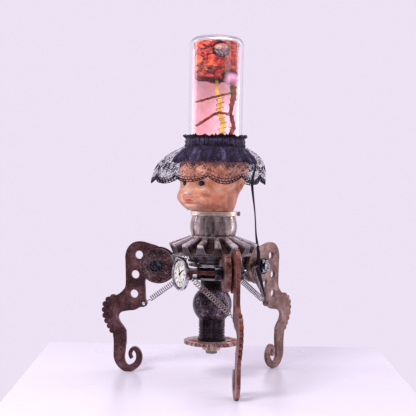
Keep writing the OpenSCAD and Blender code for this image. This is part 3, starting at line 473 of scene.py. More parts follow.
def doll_skin(name, lip_colour):
    """Painted composition: blushed cheeks, brown age stains, painted lips and fine crazing, with painted
    highlights and painted shade in the hollows of the face.
    """
    f = Finish(name)
    fine = f.noise(520.0, 5.0, 0.7)
    tone = f.ramp(f.noise(48.0, 7.0, 0.66, distortion=0.5),
                  [(0.38, (0.46, 0.15, 0.075)), (0.5, (0.79, 0.32, 0.195)), (0.6, (0.95, 0.5, 0.35))])
    tone = f.over(tone, (0.3, 0.115, 0.075), f.window(f.noise(250.0, 6.0, 0.78), 0.53, 0.65, 0.0, 0.7))
    # Painted highlights on the nose, under the eyes, the chin and the temples
    tone = f.over(tone, (1.0, 0.66, 0.52), f.attribute("pale"), 0.7)
    tone = f.over(tone, (0.68, 0.2, 0.12), f.attribute("blush"), 0.7)
    # Old stains, and painted shade in the face's hollows
    tone = f.over(tone, (0.27, 0.1, 0.06), f.attribute("blotch"), f.window(fine, 0.35, 0.6, 0.4, 0.9))
    tone = f.over(tone, lip_colour, f.attribute("lips"))
    cracks = f.window(f.cells(240.0, "DISTANCE_TO_EDGE"), 0.0, 0.035, 1.0, 0.0)
    tone = f.over(tone, (0.28, 0.11, 0.08), cracks, 0.2)
    return f.shade(Base_Color=tone, Roughness=f.window(fine, 0.3, 0.7, 0.3, 0.5), Subsurface_Weight=0.05,
                   Subsurface_Radius=(0.004, 0.002, 0.001), Normal=f.relief(fine, 0.3, 0.2))


def lace_finish(name, open_work, tone_low, tone_high, highlight):
    """Lace: a fine net with sprigs, cut out by the UV map, which is in centimetres of cloth, with a painted
    highlight in patches where the mesh's ridge attribute says.
    """
    f = Finish(name)
    net = f.window(f.cells(6.2, "DISTANCE_TO_EDGE", f.uv, 0.35), 0.02, 0.045, 0.62, 0.0)
    loops = f.window(f.cells(2.1, "DISTANCE_TO_EDGE", f.uv, 0.9), 0.022, 0.04, 1.0, 0.0)
    from_middle = f.cells(2.1, "F1", f.uv, 0.9)
    petals = f.math("MULTIPLY", f.window(from_middle, 0.2, 0.23), f.window(from_middle, 0.33, 0.3))
    sprig = f.window(f.noise(1.5, 3.0, 0.6, f.uv, 1.2), 0.49, 0.53)
    cover = f.math("MAXIMUM", net, f.math("MULTIPLY", f.math("MAXIMUM", petals, loops), sprig))
    gathered = f.math("ADD", f.attribute("close_work"), f.math("MULTIPLY", f.noise(5.0, 3.0, 0.6, f.uv), 0.4))
    cover = f.math("MAXIMUM", cover, f.window(gathered, open_work, open_work + 0.25))
    thread = f.noise(30.0, 3.0, 0.7, f.uv)
    tone = f.ramp(thread, [(0.38, tone_low), (0.6, tone_high)])
    # Patches of painted highlight on the ridges
    sheen_patches = f.window(f.noise(120.0, 6.0, 0.75), 0.42, 0.56)
    tone = f.over(tone, highlight, f.attribute("ridge"), f.window(thread, 0.35, 0.6, 0.2, 1.0), sheen_patches)
    return f.shade(Base_Color=tone, Roughness=0.6, Specular_IOR_Level=0.12, Alpha=cover,
                   Normal=f.relief(thread, 0.6, 0.25))


def satin_finish(name, dark, light, across=2600.0, up=160.0, highlight=None):
    """Satin with fine ribs, which run up the piece, and a sheen where the mesh's ridge attribute says."""
    f = Finish(name)
    rib = f.noise(1.0, 4.0, 0.55, f.stretched((across, across, up)))
    tone = f.ramp(rib, [(0.44, dark), (0.6, light)])
    if highlight:
        tone = f.over(tone, highlight, f.attribute("ridge"), f.window(rib, 0.36, 0.6, 0.3, 1.0))
    return f.shade(Base_Color=tone, Roughness=f.window(rib, 0.3, 0.7, 0.3, 0.46), Specular_IOR_Level=0.25,
                   Normal=f.relief(rib, 0.5, 0.15))


def paper_finish(name, low, middle, high, crease, spots=0.0, glow=0.0):
    """Paper, darker where its mesh's crease attribute says, which paints shade in creases and darker flakes,
    with spots and a glow where these are given; the glow paints light coming through the paper.
    """
    f = Finish(name)
    tone = f.ramp(f.noise(110.0, 6.0, 0.65), [(0.4, low), (0.5, middle), (0.6, high)])
    if spots:
        tone = f.over(tone, crease, f.window(f.noise(900.0, 2.0, 0.5), 0.56, 0.66, 0.0, spots))
    # Painted shade in the creases, and the darker flakes' own tone
    tone = f.over(tone, crease, f.attribute("crease"))
    fibre = f.noise(1300.0, 3.0, 0.6)
    # Glow: painted light, as if through the paper, though the paper is no lamp
    return f.shade(Base_Color=tone, Roughness=0.7, Normal=f.relief(fibre, 0.4, 0.15), Emission_Color=middle,
                   Emission_Strength=glow)


def bark_finish(name):
    f = Finish(name)
    grain = f.noise(1.0, 6.0, 0.7, f.stretched((900.0, 900.0, 230.0)))
    tone = f.ramp(grain, [(0.4, (0.03, 0.003, 0.003)), (0.52, (0.17, 0.02, 0.012)),
                          (0.66, (0.46, 0.09, 0.045))])
    mossy = f.window(f.noise(420.0, 5.0, 0.7), 0.42, 0.6)
    tone = f.over(tone, (0.14, 0.09, 0.02), f.attribute("moss"), mossy)
    return f.shade(Base_Color=tone, Roughness=0.8, Specular_IOR_Level=0.15, Normal=f.relief(grain, 0.9, 0.6))


def times(colour, *shares):
    """A colour with its three parts multiplied by one share, or each by its own."""
    return tuple(min(1.0, part * share) for part, share in zip(colour, shares * 3))


def make_materials(colours):
    lace, tissue, paper, plinth = (tuple(colour) for colour in (
        colours.lace, colours.tissue, colours.paper, colours.plinth))
    MATERIALS.update(
        rust_brown=worn_metal(
            "Rust_Brown", (0.028, 0.011, 0.013), (0.095, 0.036, 0.04), (0.27, 0.14, 0.15),
            (0.15, 0.04, 0.03), 0.58, 0.38, 0.6, edge_wear_and_highlight=0.45, fleck=0.45),
        rust_red=worn_metal(
            "Rust_Red", (0.06, 0.02, 0.02), (0.21, 0.065, 0.055), (0.44, 0.22, 0.2),
            (0.34, 0.085, 0.045), 0.54, 0.38, 0.6, edge_wear_and_highlight=0.5, fleck=0.4),
        worn_brown=worn_metal(
            "Worn_Brown", (0.09, 0.04, 0.034), (0.215, 0.105, 0.09), (0.45, 0.3, 0.27),
            (0.2, 0.07, 0.05), 0.58, 0.42, 0.5, edge_wear_and_highlight=0.5, fleck=0.75),
        disc_steel=worn_metal(
            "Disc_Steel", (0.022, 0.01, 0.012), (0.12, 0.06, 0.066), (0.5, 0.35, 0.38),
            (0.2, 0.065, 0.05), 0.56, 0.3, 0.8, fleck=0.7),
        ball_steel=worn_metal(
            "Ball_Steel", (0.014, 0.009, 0.013), (0.065, 0.043, 0.055), (0.42, 0.33, 0.4),
            (0.12, 0.05, 0.045), 0.62, 0.22, 0.95, fleck=0.6, grain=700.0),
        brown_iron=worn_metal(
            "Brown_Iron", (0.06, 0.02, 0.018), (0.2, 0.066, 0.05), (0.6, 0.4, 0.38),
            (0.34, 0.09, 0.045), 0.52, 0.34, 0.7, edge_wear_and_highlight=0.9),
        black_steel=worn_metal(
            "Black_Steel", (0.004, 0.003, 0.004), (0.016, 0.01, 0.013), (0.16, 0.11, 0.135),
            (0.05, 0.02, 0.02), 0.62, 0.2, 0.85, fleck=0.3),
        rusty_sprocket=worn_metal(
            "Rusty_Sprocket", (0.09, 0.05, 0.05), (0.4, 0.24, 0.22), (0.95, 0.8, 0.84),
            (0.4, 0.1, 0.045), 0.48, 0.3, 0.7, edge_wear_and_highlight=0.5),
        cast_silver=worn_metal(
            "Cast_Silver", (0.2, 0.18, 0.19), (0.46, 0.44, 0.45), (0.8, 0.78, 0.8),
            (0.1, 0.07, 0.05), 0.62, 0.22, 1.0),
        # The bolt heads get a strong painted highlight on their edges
        bolt_steel=worn_metal(
            "Bolt_Steel", (0.01, 0.009, 0.012), (0.03, 0.027, 0.035), (0.55, 0.54, 0.66),
            (0.06, 0.03, 0.028), 0.68, 0.12, 1.0, fleck=0.03, relief=0.1, edge_wear_and_highlight=1.0),
        spring_steel=worn_metal(
            "Spring_Steel", (0.07, 0.058, 0.065), (0.24, 0.2, 0.22), (0.75, 0.7, 0.74),
            (0.14, 0.08, 0.06), 0.63, 0.2, 1.0, relief=0.2),
        spring_rust=worn_metal(
            "Spring_Rust", (0.1, 0.07, 0.075), (0.28, 0.21, 0.22), (0.66, 0.56, 0.58),
            (0.24, 0.13, 0.11), 0.6, 0.3, 0.6, relief=0.2),
        wire_dark=worn_metal(
            "Hanger_Wire", (0.02, 0.018, 0.02), (0.08, 0.07, 0.075), (0.5, 0.47, 0.49),
            (0.1, 0.05, 0.03), 0.66, 0.22, 1.0, relief=0.2),
        dial_chrome=worn_metal(
            "Dial_Chrome", (0.26, 0.25, 0.27), (0.6, 0.58, 0.62), (0.9, 0.88, 0.92),
            (0.12, 0.09, 0.08), 0.66, 0.12, 1.0, relief=0.12),
        light_plate=turned_metal(
            "Light_Plate", (0.42, 0.37, 0.39), (0.9, 0.84, 0.88), (0.22, 0.16, 0.15), 0.18),
        neck_steel=turned_metal(
            "Neck_Steel", (0.006, 0.004, 0.006), (0.1, 0.07, 0.088), (0.016, 0.01, 0.013), 0.14, 0.48),
        cup_steel=turned_metal(
            "Cup_Steel", (0.07, 0.048, 0.052), (0.8, 0.66, 0.62), (0.12, 0.08, 0.08), 0.12, 0.58, 125.0),
        brass_ring=turned_metal("Pale_Brass", (0.8, 0.6, 0.52), (1.0, 0.88, 0.8), (0.5, 0.3, 0.22), 0.24),
        brass_nut=turned_metal("Nut_Brass", (0.28, 0.18, 0.1), (0.64, 0.52, 0.38), (0.14, 0.08, 0.05), 0.28),
        rod_steel=turned_metal("Rod_Steel", (0.09, 0.08, 0.08), (0.38, 0.35, 0.34), (0.05, 0.04, 0.038)),
        collar_steel=turned_metal(
            "Collar_Steel", (0.04, 0.034, 0.036), (0.28, 0.25, 0.26), (0.03, 0.023, 0.024), 0.22),
        gear_steel=gear_metal("Gear_Steel"),
        dial_white=plain_coat("Dial_Enamel", (0.82, 0.79, 0.74), (0.62, 0.58, 0.53), 0.22, scale=260.0),
        black_hands=plain_coat("Dial_Black", (0.012, 0.012, 0.018), (0.005, 0.005, 0.007), 0.35, 0.2, 300.0),
        plug_wood=plain_coat("Plug_Wood", (0.36, 0.22, 0.12), (0.2, 0.11, 0.06), 0.55, scale=180.0),
        doll_skin=doll_skin("Doll_Skin", tuple(colours.lips)),
        doll_eye=plain_coat(
            "Doll_Eye", (0.02, 0.026, 0.045), (0.004, 0.005, 0.01), 0.12, scale=500.0,
            Coat_Weight=0.3, Coat_Roughness=0.03, Specular_IOR_Level=0.3),
        jar_glass=glass_finish("Jar_Glass"),
        # The liner's glow is painted light coming through the paper
        pink_paper=paper_finish(
            "Pink_Paper", times(paper, 0.86), paper, times(paper, 1.1), (0.45, 0.13, 0.2), 0.55, 0.37),
        # Near-black crease colour: painted shade in the tissue's creases
        orange_paper=paper_finish(
            "Orange_Tissue", times(tissue, 0.35, 0.1, 0.3), times(tissue, 0.85, 0.6, 0.7),
            times(tissue, 1.2, 1.9, 1.2), (0.02, 0.001, 0.004)),
        yellow_paper=paper_finish(
            "Yellow_Card", (0.85, 0.36, 0.04), (0.93, 0.5, 0.05), (0.96, 0.62, 0.1), (0.4, 0.1, 0.03), 0.25),
        dark_pod=plain_coat("Seed_Pod", (0.42, 0.33, 0.38), (0.035, 0.022, 0.032), scale=520.0),
        pod_cap=plain_coat("Pod_Cap", (0.52, 0.24, 0.2), (0.28, 0.09, 0.08), 0.4, scale=300.0),
        coil_copper=plain_coat("Coil_Wire", (0.09, 0.06, 0.07), (0.02, 0.014, 0.02), 0.35, 0.8, 700.0),
        twig_wood=bark_finish("Twig_Bark"),
        pink_bead=plain_coat(
            "Pink_Bead", (0.72, 0.33, 0.5), (0.52, 0.16, 0.27), 0.3, scale=90.0, Subsurface_Weight=0.15),
        black_satin=satin_finish("Black_Satin", (0.003, 0.002, 0.004), lace),
        # Pale satin that paints the sheen of the black ribbon's second tail
        pale_satin=satin_finish("Painted_Sheen_Satin", (0.07, 0.04, 0.045), (0.36, 0.25, 0.26), 900.0, 120.0),
        band_satin=satin_finish(
            "Band_Satin", (0.002, 0.001, 0.003), times(lace, 0.7), 650.0, 260.0, times(lace, 2.8)),
        veil_lace=lace_finish("Veil_Lace", 0.95, times(lace, 0.6), times(lace, 2.7), lace),
        # The ruffle's strong painted highlight on its fold tops
        ruffle_lace=lace_finish("Ruffle_Lace", 0.36, times(lace, 0.25), times(lace, 0.7), times(lace, 6.4)),
        lace_cord=plain_coat(
            "Lace_Cord", times(lace, 0.6), times(lace, 0.25), 0.6, scale=900.0, Specular_IOR_Level=0.12),
        plinth_white=plain_coat("Plinth_White", plinth, times(plinth, 0.96), 0.22, scale=0.5),
    )


NODE_FINISH = {
    "center_rod": "rod_steel", "flange_nut": "brass_nut", "sprocket": "rusty_sprocket",
    "base_flange": "neck_steel", "column_neck": "neck_steel", "column_ball": "ball_steel",
    "column_barrel": "black_steel", "lower_plate": "light_plate", "hub_spacers": "black_steel",
    "spider": "brown_iron", "upper_flange": "light_plate", "grooved_collar": "collar_steel",
    "bevel_gear": "gear_steel", "steel_cup": "cup_steel", "rod_nut": "rod_steel",
    "thrust_washer": "brass_ring", "neck_ring": "brass_ring", "ring_screw": "light_plate",
    "arm_brackets": "cast_silver", "lug_disc_left": "disc_steel", "lug_disc_front": "brown_iron",
    "lug_disc_right": "disc_steel", "leg_left": "rust_brown", "leg_front": "rust_red",
    "leg_right": "worn_brown", "pivot_bolts": "bolt_steel", "pivot_spacers": "black_steel",
    "pivot_washers": "bolt_steel", "pivot_nuts": "bolt_steel", "dial_case": "dial_chrome",
    "dial_face": "dial_white", "dial_hands": "black_hands", "neck_plug": "plug_wood",
    "doll_eyes": "doll_eye", "glass_jar": "jar_glass", "jar_liner": "pink_paper",
}


def dress_nodes():
    for name, finish in NODE_FINISH.items():
        coat(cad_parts[name].data, finish)


# Head

FACE_SIDE = [(0, 27), (0.05, 29.5), (0.1, 33.5), (0.17, 37.6), (0.24, 40), (0.3, 40.2), (0.38, 38.2),
             (0.46, 37), (0.56, 37.6), (0.7, 38), (0.85, 37.2), (1, 34.5)]
BACK_SIDE = [(0, 18), (0.15, 18.6), (0.25, 19.4), (0.33, 22.5), (0.42, 28), (0.52, 32), (0.65, 34.6),
             (0.8, 35.2), (1, 33.4)]
NECK_R = 18.6
SEAT_R = JAR_R + 0.2
FACE_ANGLE = 228.0
EYE_LEVEL = 0.484
EYE_TURN = 19.5
EYE_RIM = 4.6
MM_PER_DEGREE = 0.63
LIP_LEVEL = 0.205
EAR_TURN = 92.0
EAR_LEVEL = 0.46
HEAD_COLS = 260
HEAD_ROWS = 190

# Shares of the head's grid at which the neck's end, the face, the crown and the seat's side are done
NECK_SHARE, FACE_SHARE, CROWN_SHARE, SEAT_SHARE = 0.03, 0.92, 0.95, 0.97

# Height in millimetres, then angle from the face's middle and its spread, then level and its spread
FACE_FORMS = (
    (1.7, 40, 20, 0.24, 0.12),  # cheeks
    (3.4, 0, 6, 0.33, 0.045),  # nose's tip
    (1.6, 0, 7.5, 0.4, 0.08),  # nose's bridge
    (0.9, 5.6, 3.4, 0.315, 0.025),  # nose's wings
    (-0.7, 3.4, 1.9, 0.288, 0.012),  # nostrils
    (-1.6, EYE_TURN, 10, EYE_LEVEL, 0.055),  # eye sockets
    (-1.1, EYE_TURN, 7.5, EYE_LEVEL, 0.05),  # eye sockets, deeper in their middle
    (0.5, EYE_TURN, 9, EYE_LEVEL + 0.1, 0.02),  # brows
    (1.6, 0, 11, LIP_LEVEL, 0.03),  # mouth
    (0.8, 0, 10, LIP_LEVEL + 0.018, 0.011),  # upper lip
    (0.9, 0, 8, LIP_LEVEL - 0.02, 0.013),  # lower lip
    (-1.1, 0, 11, LIP_LEVEL, 0.007),  # parting of the lips
    (-0.6, 11, 3, LIP_LEVEL, 0.015),  # corners of the mouth
    (-1.4, 0, 15, 0.24, 0.02),  # hollow over the mouth
    (-0.7, 0, 14, 0.15, 0.014),  # hollow under the mouth
    (1.8, 0, 16, 0.1, 0.05),  # chin
)

# Strength, then angle and its spread, then level and its spread
# Painted highlights, where light falls on the face
HIGHLIGHT_PATCHES = ((1, 0, 8, 0.35, 0.09), (1, 20, 10, 0.4, 0.03), (0.8, 0, 18, 0.1, 0.06),
                (0.6, 48, 12, 0.36, 0.06))
# Painted shade in hollows: the nostrils and under the lower lip
SHADED_HOLLOWS = ((0.7, 5.5, 2.2, 0.3, 0.014), (0.5, 0, 12, 0.168, 0.012))
STAINS_OF_ONE_SIDE = ((1, 30, 7, 0.3, 0.035), (0.7, 70, 16, 0.6, 0.12), (0.5, -8, 10, 0.62, 0.07))


def from_eye(f, s):
    """Distance in millimetres from the middle of the nearer eye."""
    return hypot((abs(f) - EYE_TURN) * MM_PER_DEGREE, (s - EYE_LEVEL) * (CROWN_Z - CHIN_Z))


def from_ear(f, s):
    """Distance from the middle of the ear on the positive side, where 1 is about the ear's edge."""
    return hypot((f - EAR_TURN) / 8.0, (s - EAR_LEVEL) / 0.105)


def head_radius(f, z):
    """Radius of the head in millimetres at an angle from the face and a height."""
    s = (z - CHIN_Z) / (CROWN_Z - CHIN_Z)
    front = (1 + cos(radians(f))) / 2
    r = smooth_table(FACE_SIDE, s) * front + smooth_table(BACK_SIDE, s) * (1 - front)
    for height, turn, spread, level, tall in FACE_FORMS:
        r += height * bump(s - level, tall) * sum(bump(f - side, spread) for side in {turn, -turn})
    r += 0.35 * bump(from_eye(f, s) - EYE_RIM, 0.7)
    for side in (-1, 1):
        ear = from_ear(side * f, s)
        r += 3.2 * bump(ear, 0.95) + 1.3 * bump(ear - 0.75, 0.2) - 2.2 * bump(ear, 0.36)
    return max(NECK_R, r)


def head_point(u, v):
    """u goes round the head, v from the middle of the neck's end over the face to that of the jar's seat."""
    f = 360 * u - 180
    low = RING_Z - NECK_LAP
    if v < NECK_SHARE:
        r, z = NECK_R * v / NECK_SHARE, low
    elif v < FACE_SHARE:
        z = low + (CROWN_Z - low) * (v - NECK_SHARE) / (FACE_SHARE - NECK_SHARE)
        r = NECK_R if z < RING_TOP + 0.4 else head_radius(f, z)
    elif v < CROWN_SHARE:
        edge = head_radius(f, CROWN_Z)
        r, z = edge + (SEAT_R - edge) * (v - FACE_SHARE) / (CROWN_SHARE - FACE_SHARE), CROWN_Z
    elif v < SEAT_SHARE:
        r, z = SEAT_R, CROWN_Z + (JAR_Z - CROWN_Z) * (v - CROWN_SHARE) / (SEAT_SHARE - CROWN_SHARE)
    else:
        r, z = SEAT_R * (1 - v) / (1 - SEAT_SHARE), JAR_Z
    return polar(f + FACE_ANGLE, r, z)


def face_place(p):
    """Angle from the face and share of the head's height of a point."""
    f = (angle_of(p) - FACE_ANGLE + 180) % 360 - 180
    return f, (p.z - CHIN_Z) / (CROWN_Z - CHIN_Z)


def patches(f, s, rows):
    """How strongly soft patches of paint or stain show at a place on the face."""
    return sum(strength * bump(f - turn, spread) * bump(s - level, tall)
               for strength, turn, spread, level, tall in rows)


def lip_parting(f, s):
    """The painted shade of the line between the lips, which runs a little past their corners."""
    return bump(s - LIP_LEVEL + 0.004 - 0.00012 * f * f, 0.0075) * smooth_step(12.5, 7.0, abs(f))


def lips(p):
    """Paint of the lips, with a dip in the middle of the upper one."""
    f, s = face_place(p)
    bow = LIP_LEVEL + 0.012 * bump(abs(f) - 3.5, 3) - 0.01 * bump(f, 2)
    # Less lip paint in the parting, which its painted shade darkens
    return smooth_step(1.0, 0.6, hypot(f / 8.5, (s - bow) / 0.032)) * (1 - 0.75 * lip_parting(f, s))


def blush(p):
    """Red of the cheeks or of the ears, whichever is stronger."""
    f, s = face_place(p)
    return max(bump(abs(f) - 44, 15) * bump(s - 0.24, 0.1),
               0.9 * bump(abs(f) - EAR_TURN, 6) * bump(s - 0.44, 0.1))


def pale(p):
    """Painted highlights: the nose, under the eyes, the chin and the temples."""
    f, s = face_place(p)
    return min(1.0, patches(abs(f), s, HIGHLIGHT_PATCHES))


def blotch(p):
    """Old brown stains, painted shade round the eyes, in the ears and nostrils, between and under the lips,
    and darker at the neck.
    """
    f, s = face_place(p)
    ear = from_ear(abs(f), s)
    stain = patches(f, s, STAINS_OF_ONE_SIDE) + patches(abs(f), s, SHADED_HOLLOWS) + lip_parting(f, s)
    stain += 0.75 * bump(from_eye(f, s) - EYE_RIM, 1.3) + 0.9 * bump(ear, 0.34) + 0.5 * bump(ear - 1.15, 0.2)
    return min(1.0, stain + 0.8 * smooth_step(0.05, -0.02, s))


def make_head():
    bm = mapped_grid(HEAD_COLS, HEAD_ROWS, head_point, seam=True)
    head = from_bmesh("doll_head_modelled", bm, "doll_skin", "head", ["doll_head"])
    paint(head, {"lips": lips, "blush": blush, "pale": pale, "blotch": blotch})


# Lace

VEIL_CUSP = 270.0
VEIL_ROUND = 366.0
VEIL_DEEP = 54.0
RUFFLE_R = 33.75
VEIL_PROFILE = [(58.5, -33.0, 7.0), (58.0, -25.5, 6.0), (56.0, -16.0, 4.5), (52.0, -7.5, 2.5),
                (44.5, -0.5, 1.0), (RUFFLE_R, 5.5, 0.0)]
RUFFLE_PROFILE = [(42.6, -11.0, 1.0), (41.0, -6.0, 0.6), (37.0, -1.0, 0.2), (RUFFLE_R, 3.4, 0.0)]
BAND_PROFILE = [(30.2, 0.6), (31.6, 1.6), (31.0, 4.4), (31.9, 6.6), (30.9, 9.2), (31.7, 11.4), (30.4, 13.6),
                (32.4, 16.2), (33.0, 17.4)]
HEM_LEVELS = (0.0, 0.075, 0.14)
HEM_STEPS = 420
BARS_PER_SCALLOP = 11
SPRIG_LEVEL = 0.4
PETAL_R = 3.1


def set_uv(piece, width, height):
    """Turns the unit UV map into centimetres of cloth."""
    for loop in piece.data.uv_layers["UVMap"].data:
        loop.uv = (loop.uv[0] * width, loop.uv[1] * height)


def veil_shape(scallops):
    """A function from round and up the veil, as shares, to a point of the hanging cloth."""

    def point(u, v):
        angle = 360 * u
        r, z, lean = on_profile(VEIL_PROFILE, min(1.0, max(0.0, v)))
        loose = 1 - v
        fold = cos(radians((angle - VEIL_CUSP) * scallops - 180))
        cusp = 0.85 * (1 - abs(sin(radians((angle - VEIL_CUSP) * scallops / 2))) ** 0.7)
        wave = ring_noise(angle, 2.2, v * 1.5)
        r += loose * (1.8 * fold + 2.6 * wave)
        z += loose ** 2 * 8.0 * cusp + loose * 1.4 * wave
        return polar(angle, r, CROWN_Z + z) + Vector((-lean, 0, 0))

    return point


def make_veil(scallops, cord_r):
    """The gathered net with a ladder of cords along its hem and sprigs of thread."""
    shape = veil_shape(scallops)
    veil = from_bmesh("lace_veil_cloth", mapped_grid(300, 36, shape, seam=True), "veil_lace", "head",
                      ["lace_veil"])
    paint(veil, {"close_work": lambda p: 0.75 * smooth_step(CROWN_Z, CROWN_Z + 5, p.z),
                 "ridge": lambda p: 0.0})
    set_uv(veil, VEIL_ROUND / 10, VEIL_DEEP / 10)
    thicken(veil, 0.2)
    low, middle, high = HEM_LEVELS
    thin_r = 0.7 * cord_r
    lines = [[(shape(i / HEM_STEPS, level), radius) for i in range(HEM_STEPS)]
             for level, radius in ((low, cord_r), (middle, cord_r), (high, thin_r))]
    cords = from_lines("lace_hem_cords", lines, "lace_cord", "head", sides=1, cyclic=True)
    bars = []
    count = BARS_PER_SCALLOP * scallops
    for i in range(count):
        u = i / count
        between = u + 0.5 / count
        bars.append([(shape(u, low), cord_r), (shape(u, middle), cord_r)])
        bars.append([(shape(between, middle), thin_r), (shape(between, high), thin_r)])
    from_lines("lace_hem_ladder", bars, "lace_cord", "head", sides=0)
    from_lines("lace_sprigs", veil_sprigs(shape, scallops, 0.62 * cord_r), "lace_cord", "head",
               sides=0)


def ellipse(wide, high, step, count):
    """Points round an ellipse at steps in radians, which may go on past its start."""
    return [(wide * cos(step * j), high * sin(step * j)) for j in range(count)]


def veil_sprigs(shape, scallops, thread_r):
    """Threads of a sprig in each scallop, with stems and scrolls beside it, and two rings above each cusp."""
    lines = []

    def draw(u, v, pattern):
        lines.append([(shape(u + x / VEIL_ROUND, v + y / VEIL_DEEP), thread_r) for x, y in pattern])

    for k in range(scallops):
        middle = (VEIL_CUSP / 360 + (k + 0.5) / scallops) % 1.0
        cusp = middle + 0.5 / scallops
        sprig = middle + 1.2 * sin(2.4 * k) / VEIL_ROUND
        for petal in range(5):
            turn = Matrix.Rotation(radians(72 * petal + 90 + 9 * k), 2)
            draw(sprig, SPRIG_LEVEL, [turn @ Vector((PETAL_R + x, y))
                                      for x, y in ellipse(1.9, 1.3, 0.2 * pi, 11)])
        draw(sprig, SPRIG_LEVEL, ellipse(1.0, 1.0, 0.9, 8))
        for side in (-1, 1):
            draw(middle, SPRIG_LEVEL, [(side * (4.5 + 0.52 * j), -2.5 + 4.2 * sin(0.2 * j))
                                       for j in range(20)])
            draw(middle, SPRIG_LEVEL, [(side * (13.5 - 0.18 * j * cos(0.45 * j)),
                                        -1.0 + 0.17 * j * sin(0.45 * j)) for j in range(14)])
        draw(cusp, 0.26, ellipse(2.0, 1.7, 0.7, 10))
        draw(cusp, 0.5, ellipse(2.6, 2.1, 0.7, 10))
    return lines


def ruffle_fold(angle):
    """Height of the ruffle's uneven folds at an angle, from -1 in a valley to 1 on a ridge."""
    main = sine(angle * 17 + 260 * ring_noise(angle, 1.9, 5.0))
    return (main + 0.6 * sine(angle * 31 + 300 * ring_noise(angle, 2.3, 8.0))) / 1.5


def ruffle_point(u, v):
    angle = 360 * u
    r, z, lean = on_profile(RUFFLE_PROFILE, v)
    loose = 1 - v
    fold = ruffle_fold(angle)
    small = sine(angle * 61 + 140 * ring_noise(angle, 1.6, 5.0))
    ragged = 5.5 * ring_noise(angle, 5.0, 2.0) + 3.0 * ring_noise(angle, 16.0, 6.0)
    r += loose * (3.1 * fold + 0.6 * small) + 0.5 * fold
    z += loose * (ragged + 1.5 * small - 1.3 * fold)
    return polar(angle, r, CROWN_Z + z) + Vector((-lean, 0, 0))


def make_ruffle():
    ruffle = from_bmesh("lace_ruffle_cloth", mapped_grid(460, 18, ruffle_point, seam=True), "ruffle_lace",
                        "head", ["lace_ruffle"])
    # The ridge attribute marks the fold tops, where the lace gets a painted highlight
    paint(ruffle, {"close_work": lambda p: 0.75 * smooth_step(CROWN_Z - 15, CROWN_Z - 5, p.z),
                   "ridge": lambda p: smooth_step(0.0, 1.0, ruffle_fold(angle_of(p)))})
    set_uv(ruffle, 34.0, 1.8)
    thicken(ruffle, 0.35)


def band_gather(angle, v):
    """Height of the band's small gathers, about -1.5 to 1.5."""
    return sine(angle * 52 + 420 * ring_noise(angle, 3.0, 9.0)) + 0.5 * sine(angle * 83 + 300 * v)


def band_point(u, v):
    angle = 360 * u
    r, z = on_profile(BAND_PROFILE, v)
    wide = ring_noise(angle, 3.0, 9.0)
    gather = band_gather(angle, v)
    frill = smooth_step(0.78, 1.0, v)
    r += 0.34 * gather + frill * (0.7 * gather + 1.2 * wide)
    z += 1.4 * wide + frill * (sine(angle * 31 + 500 * wide) - 0.4)
    return polar(angle, r, CROWN_Z + z)


def band_sheen(p):
    """Where the band catches the light: on its gathers, along a strong line and a weak one below it."""
    level = p.z - CROWN_Z
    gather = band_gather(angle_of(p), level / BAND_PROFILE[-1][1])
    return (bump(level - 11.0, 2.3) + 0.2 * bump(level - 3.0, 1.6)) * smooth_step(-1.4, 1.0, gather)


def make_band():
    band = from_bmesh("lace_band_cloth", mapped_grid(480, 32, band_point, seam=True), "band_satin", "head",
                      ["lace_band"])
    paint(band, {"ridge": band_sheen})
    thicken(band, 0.4)


# Ribbon

RIBBON_ANGLE = 22.0
RIGHT_LEG = LEG_ANGLES["right"]
PIVOT_R = 62.0
NUT_R = 7.74
KNOT_R = 51.06
KNOT_ACROSS = -20.55
KNOT_Z = 117.7

# Place from the knot, direction of the width from the leg's, and width factor
DARK_TAIL = (((0.3, -0.8, -1), -30, 1.2), ((1.6, -1.6, -10), -34, 1.5), ((5, -2.2, -21), -38, 1.6),
             ((10, -2.6, -34), -30, 1.1))
# The second tail: the same black ribbon, drawn in pale satin as a painted sheen
SHEEN_TAIL = (((-1, -1.8, 0), -30, 1.0), ((-7, -2.4, 0.6), -60, 1.1), ((-10.5, -3, -3.6), -40, 1.4),
              ((-8.2, -3.2, -9), -14, 1.7), ((-4.2, -3.4, -15.5), -4, 1.8), ((1.4, -3.8, -24), 4, 1.6),
              ((6.6, -4.2, -34), 12, 1.1))


def by_knot(out, across, up):
    """Point out along the right leg, across it and up from the ribbon's knot."""
    return in_plan(RIGHT_LEG, KNOT_R + out, KNOT_ACROSS + across, KNOT_Z + up)


def ribbon_strip(name, path, width, body, replaced=(), steps=6, satin="black_satin"):
    """A strip along a path of (point, direction of its width, width factor), creased along its middle."""
    spine = smooth_line([row[0] for row in path], steps)
    turns = smooth_line([(row[1], row[2], 0) for row in path], steps)
    last = len(spine) - 1

    def point(u, v):
        i = round(v * last)
        along = (spine[min(i + 1, last)] - spine[max(i - 1, 0)]).normalized()
        side = polar(turns[i].x, 1, 0)
        side = (side - along * side.dot(along)).normalized()
        across = u - 0.5
        crease = 0.3 * (0.5 - abs(across)) * sin(9.3 * v + 0.6)
        return spine[i] + (side * across * turns[i].y + along.cross(side) * crease) * width

    strip = from_bmesh(name, mapped_grid(6, last, point), satin, body, replaced)
    thicken(strip, 0.35)
    return strip


